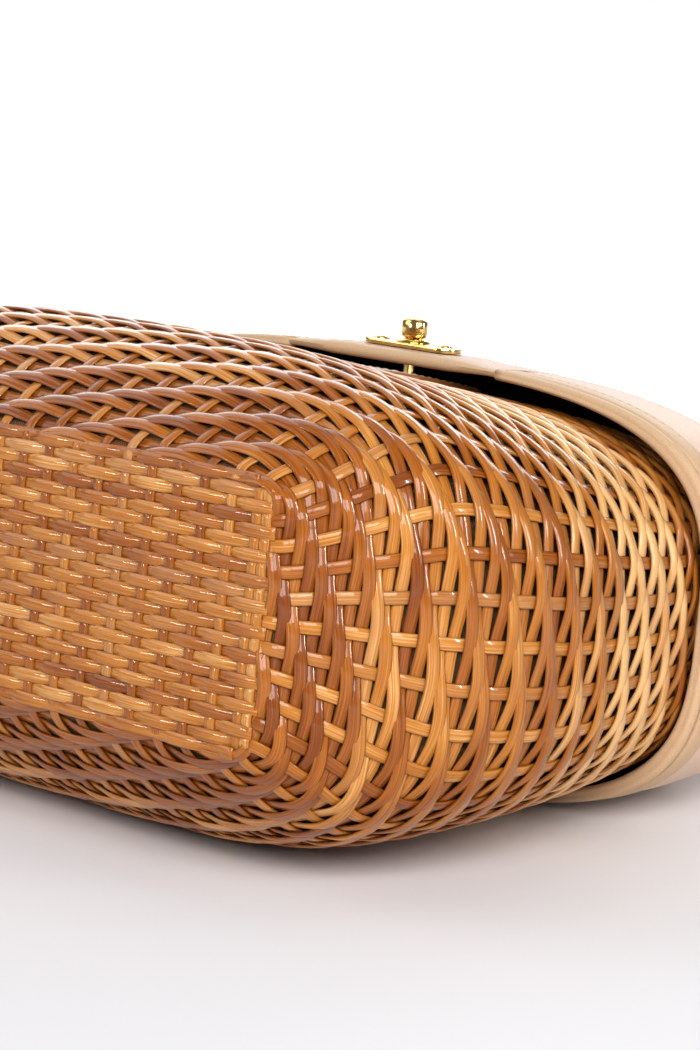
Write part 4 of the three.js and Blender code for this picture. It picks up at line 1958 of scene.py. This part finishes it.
    @staticmethod
    def spans(mask: Array) -> list[Array]:
        """Unbroken runs of a ring.

        Args:
            mask: Where the ring is kept.

        Returns:
            The runs of more than three points, as index arrays.
        """
        if mask.all():
            return [np.arange(len(mask))]
        first = int(np.argmin(mask))
        order = np.roll(np.arange(len(mask)), -first)
        cuts = np.flatnonzero(np.diff(mask[order].astype(int))) + 1
        return [part for part in np.split(order, cuts) if mask[part[0]] and len(part) > 3]


@dataclass
class Lock(Sewn):
    """The turn lock with its leather tab.

    Attributes:
        height: The height of its axis.
        plate_back: How far in front of the bag's axis the plate's back lies.
        plate: The plate's length, width and thickness.
        collar: Radii of the collar round the knob, and heights above the plate.
        stud_spread: From the axis to each stud.
        stud_radius: The studs' radius.
        stud_rise: How far they stand above the plate.
        knob: Heights and radii of the knob.
        knob_levels: Heights of its stem's and its barrel's levels: start, end and count of each.
        knob_gap: How far its foot lies above the plate.
        knob_stretch: Its scale across and up.
        sides: Points round turned shapes.
        tab_half: Half the tab's width.
        tab_ends: The heights of its bottom and its top.
        tab_round: The radius of its bottom corners.
        tab_gap: From the basket's outside to the tab's back.
        tab_wall: Its thickness.
        tab_levels: Points up its face.
        tab_rim: Its darker rim's height at the bottom, and the share of its half width where it starts.
        tab_seam: Its stitching.
        seam_inset: How far inside its edge it is sewn.
        seam_out: How far the stitches lie in front of the basket's outside.
        seam_top: Where the stitching ends, under the lid.
    """

    height: float = 143.0
    plate_back: float = 56.1
    plate: Triple = (33.0, 9.0, 1.4)
    collar: Pairs = (
        (2.75, -0.2), (4.5, -0.2), (4.6, 0.25), (4.35, 0.7), (3.9, 0.98), (3.4, 1.0), (2.95, 0.85),
        (2.75, 0.5), (2.75, -0.2),
    )
    stud_spread: float = 12.2
    stud_radius: float = 2.2
    stud_rise: float = 0.88
    knob: Pairs = (
        (0.0, 1.9), (0.75, 1.9), (0.95, 2.4), (1.15, 3.0), (1.45, 3.25), (2.1, 3.45), (3.0, 3.55),
        (4.0, 3.58), (4.8, 3.52), (5.5, 3.4), (6.0, 3.2), (6.4, 2.85), (6.65, 2.3), (6.75, 1.5),
        (6.8, 0.6),
    )
    knob_levels: tuple[tuple[float, float, int], ...] = ((0.0, 1.0, 3), (1.1, 6.78, 40))
    knob_gap: float = 0.3
    knob_stretch: Pair = (1.15, 0.82)
    sides: int = 48
    tab_half: float = 17.0
    tab_ends: Pair = (122.0, 154.0)
    tab_round: float = 9.0
    tab_gap: float = 0.3
    tab_wall: float = 1.4
    tab_levels: int = 14
    tab_rim: Pair = (1.5, 0.9)
    tab_seam: Seam = Seam(pitch=2.8, length=2.0, width=0.5)
    seam_inset: float = 2.6
    seam_out: float = 1.66
    seam_top: float = 150.0

    def on_axis(self, loops: Array, reach: float) -> Array:
        """Loops in across, up and out turned to the front of the bag."""
        across, up, out = np.moveaxis(np.asarray(loops, float), -1, 0)
        return np.stack([across, -(reach + out), self.height + up], axis=-1)

    def lathe(self, profile: Sequence[Pair], wide: float = 1.0, tall: float = 1.0) -> Array:
        """Loops of a turned shape.

        Args:
            profile: Radius and height pairs.
            wide: Its scale across.
            tall: Its scale up.

        Returns:
            Loops in across, up and out.
        """
        angle = np.arange(self.sides) * math.tau / self.sides
        cos, sin = np.cos(angle), np.sin(angle)
        rings = [(r * cos * wide, r * sin * tall, np.full(self.sides, h)) for r, h in profile]
        return np.stack([np.stack(ring, axis=1) for ring in rings])

    def build(self) -> None:
        """Builds the plate, the knob and the tab, and finishes the post."""
        self.build_plate()
        self.build_knob()
        self.build_tab()
        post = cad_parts["lock_post"]
        for slot in post.material_slots:
            slot.material = self.finishes.gold

    def plate_outline(self, inset: float, out: float) -> Array:
        """The plate's outline, with its round ends.

        Args:
            inset: How far it is drawn in.
            out: How far in front of the plate's back it lies.

        Returns:
            Its points in across, up and out.
        """
        length, width, _ = self.plate
        radius = width / 2 - inset
        angle = np.linspace(-math.pi / 2, math.pi / 2, 25)
        middle = length / 2 - width / 2
        right = np.stack([middle + radius * np.cos(angle), radius * np.sin(angle)], axis=1)
        flat = np.concatenate([right, -right])
        return np.column_stack([flat, np.full(len(flat), out)])

    def build_plate(self) -> None:
        """Builds the long plate with its collar and two studs."""
        thick = self.plate[2]
        back_edge = ((0.35, 0.0), (0.1, 0.06), (0.0, 0.3))
        front_edge = ((0.0, thick - 0.4), (0.1, thick - 0.12), (0.4, thick))
        outlines = [self.plate_outline(*step) for step in (*back_edge, *front_edge)]
        skin = Skin()
        skin.loft(self.on_axis(np.stack(outlines), self.plate_back))
        collar = [(radius, thick + up) for radius, up in self.collar]
        skin.loft(self.on_axis(self.lathe(collar), self.plate_back), False)
        dome = [(self.stud_radius * 1.02, thick - 0.3)]
        for angle in np.linspace(0.0, math.pi / 2 - 0.06, 9):
            dome.append((self.stud_radius * math.cos(angle), thick + self.stud_rise * math.sin(angle)))
        for side in (-1, 1):
            stud = self.lathe(dome) + np.array([side * self.stud_spread, 0.0, 0.0])
            skin.loft(self.on_axis(stud, self.plate_back))
        piece = skin.build("turn_lock_plate", self.finishes.gold)
        crease(piece, angle_deg=40.0)
        dress(piece, Slot.GOLD, "lock_plate")

    def build_knob(self) -> None:
        """Builds the barrel-shaped turn knob."""
        heights = np.concatenate([np.linspace(*levels) for levels in self.knob_levels])
        radius = np.interp(heights, *zip(*self.knob))
        radius[3:-1] = (radius[2:-2] + 2 * radius[3:-1] + radius[4:]) / 4
        profile = list(zip(radius, heights + self.knob_gap * (1 - heights / heights[-1])))
        loops = self.lathe(profile, *self.knob_stretch)
        skin = Skin()
        skin.loft(self.on_axis(loops, self.plate_back + self.plate[2]))
        piece = skin.build("turn_lock_knob", self.finishes.gold)
        crease(piece, angle_deg=50.0)
        dress(piece, Slot.GOLD, "lock_knob", body=Body.KNOB)

    @staticmethod
    def basket_face(across: float, height: float) -> float:
        """Where the basket's front lies at one place."""
        return float(BASKET.front_at(np.array(across), np.array(height)))

    def build_tab(self) -> None:
        """Builds the leather tab that the lock closes on, under the lid's edge."""
        bottom, top = self.tab_ends
        rim_height, rim_share = self.tab_rim
        edge_walls = np.array([0.5] + [1.0] * (self.tab_levels - 2) + [0.5])
        loops, hem = [], []
        for share in edged_stations(0.985, 0.96, 31):
            x = share * self.tab_half
            over = max(0.0, abs(x) - (self.tab_half - self.tab_round))
            low = bottom + self.tab_round - math.sqrt(max(self.tab_round**2 - over**2, 0.0))
            heights = np.linspace(low, top, self.tab_levels)
            back = np.array([self.basket_face(x, height) for height in heights]) - self.tab_gap
            thick = self.tab_wall * (0.5 if abs(share) == 1.0 else 1.0)
            inner, outer = (
                np.column_stack([np.full(self.tab_levels, x), y, heights])
                for y in (back, back - thick * edge_walls)
            )
            loops.append(np.concatenate([inner, outer[::-1]]))
            rim = (np.abs(share) > rim_share) | (heights < low + rim_height)
            hem.append(np.concatenate([rim, rim[::-1]]))
        skin = Skin()
        skin.loft(np.stack(loops), True, np.concatenate(hem).astype(float))
        piece = skin.build("lock_tab_leather", self.finishes.brown, "hem")
        dress(piece, Slot.BROWN, "lock_tab")
        seam = [(x, self.basket_face(x, z) - self.seam_out, z) for x, z in self.tab_route()]
        lines = Lines()
        lines.add(np.array(seam), False, outward=np.tile([0.0, -1.0, 0.0], (len(seam), 1)))
        self.sew(self.tab_seam, lines, "tab_stitches", Slot.BROWN)

    def tab_route(self) -> list[Pair]:
        """The line that the tab is sewn along.

        Returns:
            Places across and heights, down the left, round the bottom and up the right.
        """
        inset = self.tab_half - self.seam_inset
        middle, radius = self.tab_half - self.tab_round, self.tab_round - self.seam_inset
        corner = self.tab_ends[0] + self.tab_round
        route = [(-inset, height) for height in np.linspace(self.seam_top, corner, 8)]
        for angle in np.linspace(math.pi, math.tau, 25):
            x = middle * np.sign(np.cos(angle)) + radius * math.cos(angle)
            route.append((max(min(x, inset), -inset), corner + radius * math.sin(angle)))
        return route + [(inset, height) for height in np.linspace(corner, self.seam_top, 8)]


@dataclass
class Strap(Sewn):
    """The leather shoulder strap, riveted to the lid's ends and laid in a loop on the table.

    Attributes:
        width: Its width.
        thick: Its thickness.
        squareness: The powers that square its section, through and across it.
        sides: Points round it.
        stations: Points along it.
        knot_steps: Points from one control point to the next.
        lid_levels: Heights of its control points on the lid.
        route: Across, height and lift of the free stretch on the right.
        loop_end: How far the loop reaches from the base.
        rivets: The heights of the rivets.
        rivet_foot: Radii and heights of a rivet's foot.
        rivet_dome: The radius, foot and rise of its dome.
        rivet_sides: Points round it.
        gap: From the lid to the strap, and from the strap to a rivet.
        edge: How wide its darker edge is.
        seam: Its stitching.
        seam_inset: How far inside its edge it is sewn.
        seam_sunk: How deep the stitches lie.
        seam_skip: Stations without stitches at each end.
    """

    width: float = 14.0
    thick: float = 2.4
    squareness: Pair = (0.4, 0.25)
    sides: int = 24
    stations: int = 300
    knot_steps: int = 40
    lid_levels: tuple[float, ...] = (144.0, 150.0, 163.0)
    route: tuple[Triple, ...] = (
        (112.4, 182, 44), (111.5, 200, 36), (115, 222, 20), (120, 248, 6.5), (119, 280, 0.9),
        (103, 312, 0.5), (71, 337, 0.5), (33, 349, 0.5),
    )
    loop_end: float = 352.0
    rivets: Pair = (150.0, 159.0)
    rivet_foot: Pairs = ((2.8, 0.0), (2.85, 0.35))
    rivet_dome: Triple = (2.75, 0.4, 0.9)
    rivet_sides: int = 32
    gap: float = 0.3
    edge: float = 0.7
    seam: Seam = Seam(pitch=3.4, length=2.5, width=0.5)
    seam_inset: float = 2.0
    seam_sunk: float = 0.05
    seam_skip: int = 8

    def lid_end(self, height: float) -> Pair:
        """The lid's end at a height.

        Args:
            height: The height.

        Returns:
            How far out it lies, and how much it leans, in radians.
        """
        rows = [(s.height, s.half_width) for s in LID.sections]
        here, above = (float(np.interp(h, *zip(*rows))) for h in (height, height + 1.0))
        return here, math.atan2(here - above, 1.0)

    def control_points(self) -> Array:
        """The points that the strap's middle line runs through.

        Returns:
            Upright points from the right rivets to the left ones.
        """
        half = []
        for height in self.lid_levels:
            across, lean = self.lid_end(height - 1.0)
            half.append((across + (self.gap + self.thick / 2) / math.cos(lean), 0.0, height))
        for across, height, lift in (*self.route, (0.0, self.loop_end, self.route[-1][2])):
            half.append((across, float(LIE.table_depth(height)) - lift - self.width / 2, height))
        mirrored = [(-x, y, z) for x, y, z in half[-2::-1]]
        return np.array(half + mirrored)

    def middle_line(self) -> Array:
        """The smooth line through the control points.

        Returns:
            Evenly spaced upright points.
        """
        knots = self.control_points()
        first, last = 2 * knots[0] - knots[1], 2 * knots[-1] - knots[-2]
        padded = np.concatenate([[first], knots, [last]])
        t = np.linspace(0.0, 1.0, self.knot_steps, endpoint=False)[:, None]
        fine = []
        for a, b, c, d in zip(padded, padded[1:], padded[2:], padded[3:]):
            pairs = ((a, b), (b, c), (c, d))
            d0, d1, d2 = (max(np.linalg.norm(q - p), 1e-9) ** 0.5 for p, q in pairs)
            t1 = ((b - a) / d0 - (c - a) / (d0 + d1) + (c - b) / d1) * d1
            t2 = ((c - b) / d1 - (d - b) / (d1 + d2) + (d - c) / d2) * d1
            fine.append(b + t1 * t + (3 * (c - b) - 2 * t1 - t2) * t**2 + (2 * (b - c) + t1 + t2) * t**3)
        line = np.concatenate([*fine, knots[-1:]])
        run = lengths_along(line)
        at = np.linspace(0.0, run[-1], self.stations)
        return np.stack([np.interp(at, run, line[:, i]) for i in range(3)], axis=1)

    def build(self) -> None:
        """Builds the strap, its edge stitching and its rivets."""
        line = self.middle_line()
        along = unit(np.gradient(line, axis=0))
        depth = np.array([0.0, 1.0, 0.0])
        side = unit(np.cross(np.broadcast_to(depth, along.shape), along))
        angle = (np.arange(self.sides) + 0.5) * math.tau / self.sides
        through, across = self.squareness
        thin = np.sign(np.cos(angle)) * np.abs(np.cos(angle)) ** through * self.thick / 2
        wide = np.sign(np.sin(angle)) * np.abs(np.sin(angle)) ** across * self.width / 2
        edge = (np.abs(wide) > self.width / 2 - self.edge).astype(float)
        loops = line[:, None] + side[:, None] * thin[None, :, None] + depth * wide[None, :, None]
        skin = Skin()
        skin.loft(loops, True, np.tile(edge, len(loops)))
        piece = skin.build("shoulder_strap", self.finishes.beige, "hem")
        dress(piece, Slot.BEIGE, "strap")
        lines = Lines()
        sewn = slice(self.seam_skip, -self.seam_skip)
        out, inset = self.thick / 2 - self.seam_sunk, self.width / 2 - self.seam_inset
        for face in (-1, 1):
            for row in (-1, 1):
                route = line + side * face * out + depth * row * inset
                lines.add(route[sewn], False, outward=side[sewn] * face)
        self.sew(self.seam, lines, "strap_stitches", Slot.BEIGE)
        self.build_rivets()

    def build_rivets(self) -> None:
        """Builds the domed rivets that hold the strap to the lid."""
        angle = np.arange(self.rivet_sides) * math.tau / self.rivet_sides
        cos, sin = np.cos(angle)[:, None], np.sin(angle)[:, None]
        radius, foot, rise = self.rivet_dome
        arc = np.linspace(0.1, 1.5, 9)
        profile = [*self.rivet_foot, *((radius * math.cos(a), foot + rise * math.sin(a)) for a in arc)]
        for label, sign in (("right", 1.0), ("left", -1.0)):
            for number, height in enumerate(self.rivets, 1):
                across, lean = self.lid_end(height)
                out = np.array([sign * math.cos(lean), 0.0, math.sin(lean)])
                up = np.array([-sign * math.sin(lean), 0.0, math.cos(lean)])
                reach = across + (2 * self.gap + self.thick) / math.cos(lean)
                start = np.array([sign * reach, 0.0, height])
                loops = [start + out * h + r * (cos * up + sin * [0.0, 1.0, 0.0]) for r, h in profile]
                skin = Skin()
                skin.loft(np.stack(loops))
                piece = skin.build(f"rivet_{label}_{number}", self.finishes.gold)
                crease(piece, angle_deg=40.0)
                dress(piece, Slot.GOLD, f"strap_rivet_{label}_{number}")


def main() -> None:
    """Builds the whole scene in order."""
    logging.basicConfig(level=logging.INFO, format="%(name)s: %(message)s")
    finishes = Finishes()
    Camera().build()
    Studio().build(finishes)
    weaving, stitches = WeaveRule(), StitchRule()
    WovenBasket(weaving, finishes).build()
    Lining(finishes).build()
    Lid(finishes, stitches).build()
    Lock(finishes, stitches).build()
    Strap(finishes, stitches).build()


if __name__ == "__main__":
    main()
